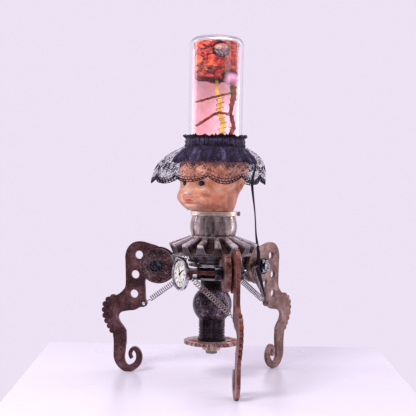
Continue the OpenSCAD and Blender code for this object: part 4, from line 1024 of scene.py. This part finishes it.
def make_ribbon(width):
    """The ribbon from the veil to the right leg, with its knot, loops, turn round the nut and two tails, the
    second in a pale satin that paints the black ribbon's sheen.
    """
    width = width / MM
    knot = by_knot(0, 0, 0)

    def hung(r, level):
        return polar(RIBBON_ANGLE, r, CROWN_Z + level)

    path = [
        (knot + Vector((0, 0, 2.6)), 180, 1.2), (knot + Vector((1.2, 0.4, 14)), 180, 1.1),
        (Vector((46.5, 22.6, CROWN_Z - 88)), 132, 0.8), (Vector((44.6, 20, CROWN_Z - 64)), 118, 0.75),
        (hung(44, -34), 150, 0.95), (hung(45.2, -23), 128, 1.25), (hung(47, -16), 112, 1.3),
        (hung(47, -10.5), 112, 1.2), (hung(44.8, -5.5), 112, 1.3), (hung(40.6, -0.8), 112, 1.2),
        (hung(RUFFLE_R + 1.3, 4), 112, 1.0)]
    strip = ribbon_strip("ribbon_satin", path, width, None, ["ribbon"])
    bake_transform(strip)

    def tied(n):
        wrap = sin(5.5 * n.z + 2.2 * n.x) * 0.16 + 0.14 * noise.noise(n * 3.0)
        return Vector((n.x * 3.1, n.y * 2.9, n.z * 3.3)) * (1 + wrap)

    bm = bmesh.new()
    bmesh.ops.create_icosphere(bm, subdivisions=4, radius=1.0)
    from_bmesh("ribbon_knot_satin", moulded(bm, tied, knot), "black_satin", "stand",
               ["ribbon_knot"])

    def turn_point(u, v):
        a = 2 * pi * u
        r = NUT_R + 0.5 + 0.35 * sin(7 * a) * sin(pi * v)
        return in_plan(RIGHT_LEG, PIVOT_R + r * cos(a), KNOT_ACROSS + (v - 0.5) * width, KNOT_Z + r * sin(a))

    turn = from_bmesh("ribbon_turn", mapped_grid(96, 5, turn_point, seam=True), "black_satin", "stand")
    thicken(turn, 0.5)
    # The second tail's pale satin is a painted sheen of the black ribbon
    for name, tail, satin in (("ribbon_tail_dark", DARK_TAIL, "black_satin"),
                              ("ribbon_tail_sheen", SHEEN_TAIL, "pale_satin")):
        path = [(by_knot(*at), RIGHT_LEG + way, factor) for at, way, factor in tail]
        ribbon_strip(name, path, width, "stand", steps=8, satin=satin)
    for name, side, size in (("ribbon_loop_left", -1, 4.6), ("ribbon_loop_right", 1, 3.8)):
        path = [(knot + Vector((side * size * 0.7 * (1 - cos(a)), -1.5 - 0.6 * sin(a),
                                size * 0.55 * sin(a) + 0.6)), 90 + 20 * side, 0.8)
                for a in map(radians, range(20, 341, 40))]
        ribbon_strip(name, path, width, "stand", steps=4)


# Springs

# Place of the tab that holds each spring, out along its leg and across it, the turn of its axis in degrees,
# and whether the leg is the mirror image of the others
SPRING_TABS = {
    "left": (31.0, -13.7, 0.0, False),
    "front": (12.5374, 25.7055, -26.0, True),
    "right": (28.0, -8.0, 0.0, False),
}
SPRING_LUG = Vector((78.2, -13.7, 75.0))
TAB_Z = 109.347
HOOK_R = 3.3
SPRING_COIL_R = 2.7
RINGS = 18


def spring_hook(at, axis, d):
    """Hook of a spring's end round an axis at a place, which runs on into the coil along d."""
    side = axis * (-1 if axis.dot(d) < 0 else 1)
    e = (d - axis * d.dot(axis)).normalized()
    middle = at + e * HOOK_R
    away = (side - d * side.dot(d)).normalized()
    points = []
    for k in range(-15, 14):
        a = radians(k * 10)
        points.append(middle - e * HOOK_R * cos(a) + side * HOOK_R * sin(a))
    points.append(middle + d * (HOOK_R + 0.2) + away * 0.3)
    points.append(middle + d * (HOOK_R + 1.2) + away * 1.4)
    return points


def spring_line(tab, curls):
    """The wire's route in its leg's own frame: out along the leg, across it, and up."""
    a = Vector((tab[0], tab[1], TAB_Z))
    b = SPRING_LUG
    along = (b - a).normalized()
    axis_a = polar(tab[2] + 90, 1, 0)
    axis_b = Vector((0, 1, 0))
    side = (axis_b - along * axis_b.dot(along)).normalized()
    up = along.cross(side)
    margin = 2 * HOOK_R + 2.4
    length = (b - a).length - 2 * margin
    count = RINGS * curls
    coil = []
    for k in range(count + 1):
        t = 2 * pi * k / RINGS
        coil.append(a + along * (margin + length * k / count) + (side * cos(t) + up * sin(t)) * SPRING_COIL_R)
    return spring_hook(a, axis_a, along) + coil + spring_hook(b, axis_b, -along)[::-1]


def out_of_leg(p, angle, flipped):
    return in_plan(angle, p.x, -p.y if flipped else p.y, p.z)


def make_springs(curls, wire_d):
    for leg, tab in SPRING_TABS.items():
        angle, flipped = LEG_ANGLES[leg], tab[3]
        line = [(out_of_leg(p, angle, flipped), wire_d / 2 / MM) for p in spring_line(tab, curls)]
        finish = "spring_rust" if leg == "front" else "spring_steel"
        spring = from_lines("spring_%s_wire" % leg, [line], finish, None, ["spring_" + leg])
        start = out_of_leg(Vector((tab[0], tab[1], TAB_Z)), angle, flipped)
        end = out_of_leg(SPRING_LUG, angle, flipped)
        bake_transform(spring)


# Dial

DIAL_ANGLE = 208.0
DIAL_HANG_R = 32.5
DIAL_BACK = 35.8
FACE_R = 14.7
NUMBERS_R = 9.6

# Outer radius, width and level of the middle of each printed ring: the track's two, and the seconds' two
DIAL_RINGS = ((FACE_R + 0.1, 0.9, 0.0), (FACE_R - 2.5, 0.22, 0.0), (3.6, 0.3, -6.0), (2.2, 0.2, -6.0))


def dial_matrix(surface):
    """From the dial's plane, X right, Y up and Z out of its face, to millimetres about the column axis."""
    n = polar(DIAL_ANGLE, 1, 0)
    up = Vector((0, 0, 1))
    turn = Matrix((up.cross(n), up, n)).transposed().to_4x4()
    return Matrix.Translation(middle_of("dial_face") + n * surface) @ turn


def make_dial_marks(number_height):
    """Minute track, hour numbers and small seconds ring on the enamel."""
    bm = bmesh.new()
    for k in range(60):
        wide, long = (0.5, 1.5) if k % 5 == 0 else (0.24, 1.0)
        made = bmesh.ops.create_cube(bm, size=1.0)["verts"]
        bmesh.ops.scale(bm, vec=(wide, long, 0.12), verts=made)
        bmesh.ops.translate(bm, vec=(0, FACE_R - 0.7 - long / 2, 0), verts=made)
        bmesh.ops.rotate(bm, cent=(0, 0, 0), matrix=Matrix.Rotation(radians(-6 * k), 3, "Z"), verts=made)
    for r, w, low in DIAL_RINGS:
        centre = Vector((0, low, 0))
        outer = bmesh.ops.create_circle(bm, cap_ends=False, radius=r, segments=96)["verts"]
        bmesh.ops.translate(bm, vec=centre, verts=outer)
        edges = [edge for edge in bm.edges if edge.verts[0] in outer and edge.verts[1] in outer]
        for vert in bmesh.ops.extrude_edge_only(bm, edges=edges)["geom"]:
            if isinstance(vert, bmesh.types.BMVert):
                vert.co = centre + (vert.co - centre) * ((r - w) / r)
    matrix = dial_matrix(0.37)
    bmesh.ops.transform(bm, matrix=matrix, verts=bm.verts)
    from_bmesh("dial_track", bm, "black_hands", "dial", smooth=False)
    bm = bmesh.new()
    for hour in range(1, 13):
        curve = bpy.data.curves.new("dial_number_%d" % hour, "FONT")
        curve.body = str(hour)
        curve.size = number_height / MM
        curve.extrude = 0.05
        curve.offset = 0.08
        curve.align_x = "CENTER"
        curve.align_y = "CENTER"
        curve.resolution_u = 3
        mesh = mesh_of(curve)
        a = radians(30 * hour)
        place = Matrix.Translation((NUMBERS_R * sin(a), NUMBERS_R * cos(a), 0))
        mesh.transform(matrix @ place @ Matrix.Rotation(-a, 4, "Z"))
        bm.from_mesh(mesh)
        bpy.data.meshes.remove(mesh)
    from_bmesh("dial_numbers", bm, "black_hands", "dial", smooth=False)


def make_hanger():
    """The wire hook below the gear and the wire ring on the dial, which replace the plain hook and bow."""
    n = polar(DIAL_ANGLE, 1, 0)
    up = Vector((0, 0, 1))
    ring_r, reach, wire_r, shank_r = 1.9, 2.4, 0.45, 0.5

    def wire_turn(centre, side, first):
        angles = [radians(first + 15 * k) for k in range(25)]
        return [(centre + (side * cos(t) + up * sin(t)) * ring_r, wire_r) for t in angles]

    centre = n * DIAL_HANG_R + up * (height_of("dial_hook", False) + reach)
    stem = [(centre + up * ring_r, wire_r), (n * DIAL_HANG_R + up * height_of("dial_hook", True), wire_r)]
    from_lines("dial_hook_wire", [wire_turn(centre, n, -90), stem], "wire_dark", "stand",
               ["dial_hook"])
    centre = n * DIAL_HANG_R + up * (height_of("dial_bow", True) - reach)
    stem = [(centre - up * ring_r, shank_r), (n * DIAL_BACK + up * (centre.z - ring_r), shank_r)]
    from_lines("dial_bow_wire", [wire_turn(centre, up.cross(n), 0), stem], "wire_dark", "dial",
               ["dial_bow"])


# Jar filling

TISSUE_SEED = 2
TISSUE_LOW = 318.25
TISSUE_TOP = JAR_TOP - 5.7
TISSUE_R = 24.7
TISSUE_ENDS = 0.18
FLAKE = 8.5
POD_AT = Vector((4.0, -15.0, JAR_TOP - 15.5))
POD_R = 7.1
POD_CAP_R = 7.9
POD_TILT = 24.0
BEAD_R = 7.4


def crumple(angle, z):
    """Depth of a crumpled sheet's folds, how near a crease is, and each flake's own tone."""
    a = radians(angle)
    p = Vector((cos(a) * TISSUE_R, sin(a) * TISSUE_R, z * 1.5)) / FLAKE
    p += 0.8 * noise.noise_vector(p * 0.9)
    near, centres = noise.voronoi(p, distance_metric="DISTANCE", exponent=2.5)
    seed = noise.noise_vector(centres[0] * 3.7)
    flake = 0.9 + 2.4 * seed.x + 5.0 * (p - centres[0]).dot(seed)
    q = p * 2.3 + Vector((7, 3, 1))
    small, small_centres = noise.voronoi(q, distance_metric="DISTANCE", exponent=2.5)
    flake += 1.6 * (q - small_centres[0]).dot(noise.noise_vector(small_centres[0] * 2.9))
    border = smooth_step(0.12, 0.0, near[1] - near[0]) * smooth_step(-0.25, 0.25, noise.noise(p * 1.3))
    return flake + 0.8 * border, max(border, 0.6 * smooth_step(0.1, 0.0, small[1] - small[0])), seed.y


def make_tissue():
    """Crumpled tissue stuffed under the dome, as wide as the jar, with hollows for the pod and the bead."""
    noise.seed_set(TISSUE_SEED)
    bead = middle_of("bead")

    def point(u, v):
        angle = 360 * u
        z = TISSUE_LOW + (TISSUE_TOP - TISSUE_LOW) * (v - TISSUE_ENDS) / (1 - 2 * TISSUE_ENDS)
        z = min(TISSUE_TOP, max(TISSUE_LOW, z))
        share = min(1.0, v / TISSUE_ENDS, (1 - v) / TISSUE_ENDS)
        depth = crumple(angle, z)[0] * smooth_step(0.0, 0.5, share)
        r = min(TISSUE_R, max(0.0, (TISSUE_R - 0.4) * sqrt(share) - max(0.0, depth)))
        sag = 7.0 * ring_noise(angle, 1.8, 1.0) + 2.6 * noise.noise(polar(angle, r * 0.16, 3.0))
        z -= smooth_step(0.5, 0.0, v) * (2.0 - sag)
        if v > 1 - TISSUE_ENDS:
            z -= 0.6 + 0.5 * sag
        q = polar(angle, r, min(z, TISSUE_TOP))
        for hole, size in ((POD_AT, 8.8), (bead, BEAD_R + 1.2)):
            away = q - hole
            if away.y < 4.0 and hypot(away.x, away.z) < 0.95 * size:
                q.y = hole.y + 4.0
        reach = hypot(q.x, q.y)
        if reach > TISSUE_R:
            q = Vector((q.x * TISSUE_R / reach, q.y * TISSUE_R / reach, q.z))
        return q

    tissue = from_bmesh("tissue_wad", mapped_grid(240, 130, point, seam=True), "orange_paper", "head",
                        ["orange_tissue"])

    # Painted shade in the tissue's creases and deeper in from the glass, with some flakes darker in their own
    # tone
    def crease(p):
        depth, border, dark = crumple(angle_of(p), p.z)
        # Painted shade deeper in from the glass, weaker round the hollows of the pod and the bead
        low = smooth_step(TISSUE_R - 2.5, TISSUE_R - 6.5, hypot(p.x, p.y))
        if min(hypot(p.x - at.x, p.z - at.z) for at in (POD_AT, bead)) < 10.5:
            low *= 0.3
        return min(1.0, border + 0.7 * low + 0.75 * smooth_step(0.02, 0.3, dark))

    paint(tissue, {"crease": crease})


def make_pod():
    """Ribbed seed head with a rosy cap, as a poppy's."""

    def husk(n):
        rib = 1 + 0.06 * cos(10 * atan2(n.y, n.x)) * (1 - n.z * n.z)
        return Vector((n.x * rib, n.y * rib, n.z * (0.9 if n.z > 0 else 1.05))) * POD_R

    def cap(n):
        rib = 1 + 0.05 * cos(12 * atan2(n.y, n.x))
        return Vector((n.x * POD_CAP_R * rib, n.y * POD_CAP_R * rib, n.z * (4.4 if n.z > 0 else 0.8) + 3.6))

    bm = bmesh.new()
    bmesh.ops.create_uvsphere(bm, u_segments=80, v_segments=40, radius=1.0)
    from_bmesh("seed_pod_ribbed", moulded(bm, husk, POD_AT, POD_TILT), "dark_pod", "head",
               ["seed_pod"])
    bm = bmesh.new()
    bmesh.ops.create_uvsphere(bm, u_segments=72, v_segments=28, radius=1.0)
    from_bmesh("seed_pod_cap", moulded(bm, cap, POD_AT, POD_TILT), "pod_cap", "head")


TWIG_POINTS = [(8, -14, 0.62), (10.5, -13.5, 10), (15.5, -12, 22), (18.4, -10, 31), (15.2, -10.5, 42),
               (16.4, -10, 53), (18, -9, 64), (16.4, -9, 72)]
TWIG_RADII = [2.1, 2.2, 2.1, 1.9, 2.0, 2.2, 2.9, 2.6]
HIGH_CROSS = [(-20.8, -11.2, 54), (-8, -13, 57.5), (4, -14, 61), (16.8, -11.2, 64)]
LOW_CROSS = [(-19.9, -12.2, 29), (-10, -13.4, 36), (3, -14.4, 43), (15.2, -12.6, 41.6)]
STEM_LINE = [(10.5, 0, 4.6), (10.5, 12, 5.4), (7, 22, 3.8), (8, 34, 4.6), (4, 44, 3.4), (4.6, 56, 3.6),
             (1, 66, 2.8), (0.6, 81, 2.2)]
STEM_Y = -4.0
COIL_LOW = 14
COIL_RISE = 46
COIL_TURNS = 9
COIL_STEPS = 24
COIL_R = 4.0
TWIG_STEPS = 12

# Knot of the upright twig that a stub grows from, its reach and its radius
TWIG_STUBS = ((2.6, (-4.5, -1, 2), 0.8), (3.6, (2.2, -2, 4), 0.8), (4.6, (-3, -1.5, 4.4), 0.7),
              (5.4, (2, -1, 4.4), 0.8), (1.5, (3.4, -1.6, 3.8), 0.7), (0.6, (-5.4, -1.2, 2.6), 0.8))
MOSS_CLUMPS = 46
MOSS_LOW = 57


def in_jar(points):
    return [Vector((x, y, JAR_Z + z * TALL)) for x, y, z in points]


def make_twigs():
    """Bark-covered twigs: one upright with side stubs and clumps of moss, two across."""
    upright = smooth_line(in_jar(TWIG_POINTS), TWIG_STEPS)
    radii = smooth_line([(r, 0, 0) for r in TWIG_RADII], TWIG_STEPS)
    lines = [[(p + Vector((noise.noise(p * 0.31), noise.noise(p * 0.37 + Vector((5, 0, 0))), 0)) * 0.8,
               q.x * (1 + 0.35 * noise.noise(p * 0.5))) for p, q in zip(upright, radii)]]
    for points, radius in ((HIGH_CROSS, 1.15), (LOW_CROSS, 1.45)):
        lines.append([
            (p + Vector((0, 0, 0.8 * noise.noise(p * 0.4))), radius * (1 + 0.35 * noise.noise(p * 0.7)))
            for p in smooth_line(in_jar(points), TWIG_STEPS)])
    for knot, reach, radius in TWIG_STUBS:
        foot = upright[int(knot * TWIG_STEPS)]
        lines.append([(foot + Vector(reach) * t, radius * (1 - 0.6 * t)) for t in (0, 0.3, 0.65, 1.0)])
    twigs = from_lines("twigs_bark", lines, "twig_wood", "head", ["main_twig", "cross_twigs"],
                       sides=4)
    paint(twigs, {"moss": lambda p: smooth_step(JAR_Z + 56, JAR_Z + 64, p.z) if p.x > 12 else 0.0})
    bm = bmesh.new()
    for k in range(MOSS_CLUMPS):
        size = 0.55 + 0.35 * ((k * 0.37) % 1.0)
        made = bmesh.ops.create_icosphere(bm, subdivisions=1, radius=size)["verts"]
        height = JAR_Z + MOSS_LOW + 15 * ((k * 0.618) % 1.0)
        place = polar(137.5 * k, 2.1, height) + Vector((18.4, -8.6, 0))
        bmesh.ops.translate(bm, vec=place, verts=made)
    moss = from_bmesh("twig_moss", bm, "twig_wood", "head")
    paint(moss, {"moss": lambda p: 1.0})


def make_stem(wire_d):
    """Cut yellow card that zigzags up, with the thin wire coiled round it."""
    line = smooth_line([Vector((x, 0, h * TALL)) for x, h, w in STEM_LINE], 8)
    widths = smooth_line([(w, 0, 0) for x, h, w in STEM_LINE], 8)
    last = len(line) - 1

    def point(u, v):
        i = round(v * last)
        notch = 1.5 * sin(i * 1.9 + (0.0 if u < 0.5 else 2.2))
        return Vector((line[i].x + (u - 0.5) * (1.2 * widths[i].x + notch), STEM_Y + 0.5 * sin(i * 0.35),
                       JAR_Z + 0.3 + line[i].z))

    card = from_bmesh("stem_card", mapped_grid(4, last, point), "yellow_paper", "head",
                      ["yellow_stem"], smooth=False)
    thicken(card, 1.0)
    count = COIL_STEPS * COIL_TURNS
    heights = [(COIL_LOW + COIL_RISE * k / count) * TALL for k in range(count + 1)]
    stem_top = STEM_LINE[-1][1] * TALL
    centres = [line[min(last, max(0, round(last * h / stem_top)))].x for h in heights]
    coil = []
    for k, h in enumerate(heights):
        near = centres[max(0, k - 12):k + 13]
        coil.append((polar(360 * k / COIL_STEPS, COIL_R, JAR_Z + h)
                     + Vector((sum(near) / len(near), STEM_Y, 0)), wire_d / 2 / MM))
    from_lines("coil_wire", [coil], "coil_copper", "head", ["wire_coil"])


def make_bead():
    """A slightly uneven bead."""
    bm = bmesh.new()
    bmesh.ops.create_uvsphere(bm, u_segments=64, v_segments=40, radius=BEAD_R)
    moulded(bm, lambda p: p * (1 + 0.012 * noise.noise(p.normalized() * 2.4)), middle_of("bead"))
    from_bmesh("bead_pearl", bm, "pink_bead", "head", ["bead"])


# Stage

CAMERA_PLACE = Vector((-6.3, -900.0, 193.7))
FOCAL_PIXELS = 850.0
PICTURE_PIXELS = 416.0
SENSOR = 36.0
PITCH = 0.81
ROLL = 1.02


def make_plinth(width):
    """A plinth whose front edge is narrower than its back one, as the photograph shows it."""
    bm = bmesh.new()
    made = bmesh.ops.create_cube(bm, size=1.0)["verts"]
    bmesh.ops.scale(bm, vec=(width, width, 0.3), verts=made)
    front = [vert for vert in made if vert.co.y < 0]
    bmesh.ops.scale(bm, vec=(0.912, 1, 1), verts=front)
    bmesh.ops.translate(bm, vec=(0.018, 0.009, -0.15), verts=made)
    bmesh.ops.bevel(bm, geom=bm.edges[:], offset=0.0015, segments=2, profile=0.5, affect="EDGES", material=-1)
    mesh = bpy.data.meshes.new("plinth")
    bm.to_mesh(mesh)
    bm.free()
    coat(mesh, "plinth_white")
    plinth = bpy.data.objects.new("plinth", mesh)
    bpy.context.scene.collection.objects.link(plinth)


def make_room(wall):
    """A pale wall all round, which is dim in reflections from the side where the photographer stands."""
    world = bpy.data.worlds.new("Studio")
    world.use_nodes = True
    nodes, links = world.node_tree.nodes, world.node_tree.links
    back = nodes["Background"]
    back.inputs["Color"].default_value = (*wall, 1)
    split = nodes.new("ShaderNodeSeparateXYZ")
    links.new(nodes.new("ShaderNodeTexCoord").outputs["Generated"], split.inputs["Vector"])
    room = nodes.new("ShaderNodeMapRange")
    room.interpolation_type = "SMOOTHSTEP"
    for key, value in {"From Min": -0.75, "From Max": 0.25, "To Min": 0.36, "To Max": 1.0}.items():
        room.inputs[key].default_value = value
    links.new(split.outputs["Y"], room.inputs["Value"])
    strength = nodes.new("ShaderNodeMix")
    links.new(nodes.new("ShaderNodeLightPath").outputs["Is Camera Ray"], strength.inputs["Factor"])
    links.new(room.outputs["Result"], strength.inputs["A"])
    strength.inputs["B"].default_value = 1.0
    links.new(strength.outputs["Result"], back.inputs["Strength"])
    bpy.context.scene.world = world


LAMP_AIM = Vector((0, 0, 0.17))

# Name, place, width and height, power, colour, and whether metal mirrors it
LAMPS = (
    ("key_light", (-0.55, -0.8, 0.85), (0.4, 0.4), 13.0, (1.0, 0.97, 0.96), False),
    ("fill_light", (0.8, -0.6, 0.45), (0.5, 0.5), 2.5, (0.96, 0.95, 1.0), False),
    ("top_light", (0.1, 0.1, 1.1), (0.5, 0.5), 2.0, (1.0, 0.98, 1.0), True),
    ("left_strip", (-0.6, 0.15, 0.3), (0.12, 0.6), 0.7, (0.98, 0.96, 1.0), True),
    ("right_strip", (0.6, 0.2, 0.3), (0.12, 0.6), 0.7, (0.98, 0.96, 1.0), True),
)


def make_lights():
    """Area lamps that all aim at the middle of the figure."""
    for name, place, (wide, tall), power, colour, mirrored in LAMPS:
        lamp = bpy.data.lights.new(name, "AREA")
        lamp.shape = "RECTANGLE"
        lamp.size = wide
        lamp.size_y = tall
        lamp.energy = power
        lamp.color = colour
        light = bpy.data.objects.new(name, lamp)
        light.location = place
        light.rotation_euler = (LAMP_AIM - Vector(place)).to_track_quat("-Z", "Y").to_euler()
        light.visible_camera = False
        light.visible_glossy = mirrored
        bpy.context.scene.collection.objects.link(light)


def make_camera():
    """The camera at the place, pitch and roll that match the photograph's view."""
    scene = bpy.context.scene
    camera = bpy.data.cameras.new("photograph_view")
    camera.sensor_width = SENSOR
    camera.lens = SENSOR * FOCAL_PIXELS / PICTURE_PIXELS
    camera.clip_end = 20
    eye = bpy.data.objects.new("photograph_view", camera)
    eye.location = AXIS + CAMERA_PLACE * MM
    pitch = Matrix.Rotation(radians(90 - PITCH), 4, "X")
    roll = Matrix.Rotation(radians(ROLL), 4, "Z")
    eye.rotation_euler = (pitch @ roll).to_euler()
    scene.collection.objects.link(eye)
    scene.camera = eye
    scene.view_settings.view_transform = "Standard"


# Add-on

class FigureSizes(bpy.types.PropertyGroup):
    """Sizes and counts of the modelled pieces"""
    spring_curls: IntProperty(
        name="Spring curls", description="Curls in each leg spring", default=17, min=8, max=24)
    spring_wire: FloatProperty(
        name="Spring wire", description="Thickness of the leg springs' wire", default=0.0009,
        min=0.0006, max=0.002, unit="LENGTH")
    coil_wire: FloatProperty(
        name="Coil wire", description="Thickness of the wire coiled in the jar", default=0.0006,
        min=0.0003, max=0.0012, unit="LENGTH")
    veil_scallops: IntProperty(
        name="Scallops", description="Scallops round the veil's hem", default=10, min=6, max=16)
    hem_cord: FloatProperty(
        name="Hem cord", description="Thickness of the cord along the veil's hem", default=0.00095,
        min=0.0003, max=0.0015, unit="LENGTH")
    ribbon_width: FloatProperty(
        name="Ribbon width", description="Width of the satin ribbon", default=0.0032,
        min=0.002, max=0.006, unit="LENGTH")
    number_height: FloatProperty(
        name="Numbers", description="Height of the numbers on the dial", default=0.0046,
        min=0.003, max=0.006, unit="LENGTH")
    plinth_width: FloatProperty(
        name="Plinth", description="Width of the plinth under the figure", default=0.427,
        min=0.3, max=0.8, unit="LENGTH")


class FigureColours(bpy.types.PropertyGroup):
    """Colours that a user may change"""
    wall: FloatVectorProperty(
        name="Wall", description="Colour of the wall behind the figure", subtype="COLOR", size=3,
        default=(0.85, 0.765, 0.905), min=0, max=1)
    plinth: FloatVectorProperty(
        name="Plinth", description="Colour of the plinth", subtype="COLOR", size=3,
        default=(0.72, 0.68, 0.78), min=0, max=1)
    lace: FloatVectorProperty(
        name="Lace", description="Colour of the lace where light catches it", subtype="COLOR", size=3,
        default=(0.035, 0.026, 0.055), min=0, max=1)
    tissue: FloatVectorProperty(
        name="Tissue", description="Colour of the tissue in the jar", subtype="COLOR", size=3,
        default=(0.68, 0.06, 0.022), min=0, max=1)
    paper: FloatVectorProperty(
        name="Liner", description="Colour of the paper liner in the jar", subtype="COLOR", size=3,
        default=(0.87, 0.51, 0.58), min=0, max=1)
    lips: FloatVectorProperty(
        name="Lips", description="Colour of the painted lips", subtype="COLOR", size=3,
        default=(0.56, 0.035, 0.022), min=0, max=1)


class FIGURE_OT_materials(bpy.types.Operator):
    """Makes every finish of the figure"""
    bl_idname = "figure.materials"
    bl_label = "Mix finishes"

    def execute(self, context):
        make_materials(context.scene.figure_colours)
        return {"FINISHED"}


class FIGURE_OT_stage(bpy.types.Operator):
    """Adds the plinth, the room, the lights and the camera"""
    bl_idname = "figure.stage"
    bl_label = "Set the stage"

    def execute(self, context):
        make_plinth(context.scene.figure_sizes.plinth_width)
        make_room(tuple(context.scene.figure_colours.wall))
        make_lights()
        make_camera()
        return {"FINISHED"}


class FIGURE_OT_metal(bpy.types.Operator):
    """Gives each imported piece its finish"""
    bl_idname = "figure.metal"
    bl_label = "Dress the metal"

    def execute(self, context):
        dress_nodes()
        return {"FINISHED"}


class FIGURE_OT_springs(bpy.types.Operator):
    """Winds the three leg springs"""
    bl_idname = "figure.springs"
    bl_label = "Wind the springs"

    def execute(self, context):
        sizes = context.scene.figure_sizes
        make_springs(sizes.spring_curls, sizes.spring_wire)
        return {"FINISHED"}


class FIGURE_OT_dial(bpy.types.Operator):
    """Adds the dial's track, numbers and wire hanger"""
    bl_idname = "figure.dial"
    bl_label = "Mark the dial"

    def execute(self, context):
        make_dial_marks(context.scene.figure_sizes.number_height)
        make_hanger()
        return {"FINISHED"}


class FIGURE_OT_head(bpy.types.Operator):
    """Models the doll's head with its painted lips and cheeks"""
    bl_idname = "figure.head"
    bl_label = "Model the head"

    def execute(self, context):
        make_head()
        return {"FINISHED"}


class FIGURE_OT_lace(bpy.types.Operator):
    """Gathers the band and the ruffle and hangs the veil"""
    bl_idname = "figure.lace"
    bl_label = "Gather the lace"

    def execute(self, context):
        sizes = context.scene.figure_sizes
        make_band()
        make_ruffle()
        make_veil(sizes.veil_scallops, sizes.hem_cord / 2 / MM)
        return {"FINISHED"}


class FIGURE_OT_ribbon(bpy.types.Operator):
    """Hangs the satin ribbon and ties it round the nut"""
    bl_idname = "figure.ribbon"
    bl_label = "Tie the ribbon"

    def execute(self, context):
        make_ribbon(context.scene.figure_sizes.ribbon_width)
        return {"FINISHED"}


class FIGURE_OT_filling(bpy.types.Operator):
    """Stuffs the jar with its tissue, seed pod, twigs, card, wire and bead"""
    bl_idname = "figure.filling"
    bl_label = "Fill the jar"

    def execute(self, context):
        make_tissue()
        make_pod()
        make_twigs()
        make_stem(context.scene.figure_sizes.coil_wire)
        make_bead()
        return {"FINISHED"}


OPERATORS = [FIGURE_OT_materials, FIGURE_OT_stage, FIGURE_OT_metal, FIGURE_OT_springs, FIGURE_OT_dial,
             FIGURE_OT_head, FIGURE_OT_lace, FIGURE_OT_ribbon, FIGURE_OT_filling]


class FIGURE_PT_pieces(bpy.types.Panel):
    """Lists the steps that dress the figure"""
    bl_idname = "FIGURE_PT_pieces"
    bl_label = "Figure"
    bl_space_type = "VIEW_3D"
    bl_region_type = "UI"
    bl_category = "Figure"

    def draw(self, context):
        for item in OPERATORS:
            self.layout.operator(item.bl_idname)
        for group in (context.scene.figure_sizes, context.scene.figure_colours):
            for key in group.__annotations__:
                self.layout.prop(group, key)


CLASSES = [FigureSizes, FigureColours, *OPERATORS, FIGURE_PT_pieces]


def register():
    for item in CLASSES:
        bpy.utils.register_class(item)
    bpy.types.Scene.figure_sizes = PointerProperty(type=FigureSizes)
    bpy.types.Scene.figure_colours = PointerProperty(type=FigureColours)


def unregister():
    del bpy.types.Scene.figure_colours
    del bpy.types.Scene.figure_sizes
    for item in reversed(CLASSES):
        bpy.utils.unregister_class(item)


def main():
    register()
    bpy.ops.figure.materials()
    bpy.ops.figure.stage()
    bpy.ops.figure.metal()
    bpy.ops.figure.springs()
    bpy.ops.figure.dial()
    bpy.ops.figure.head()
    bpy.ops.figure.lace()
    bpy.ops.figure.ribbon()
    bpy.ops.figure.filling()
    bpy.context.view_layer.update()


if __name__ == "__main__":
    main()
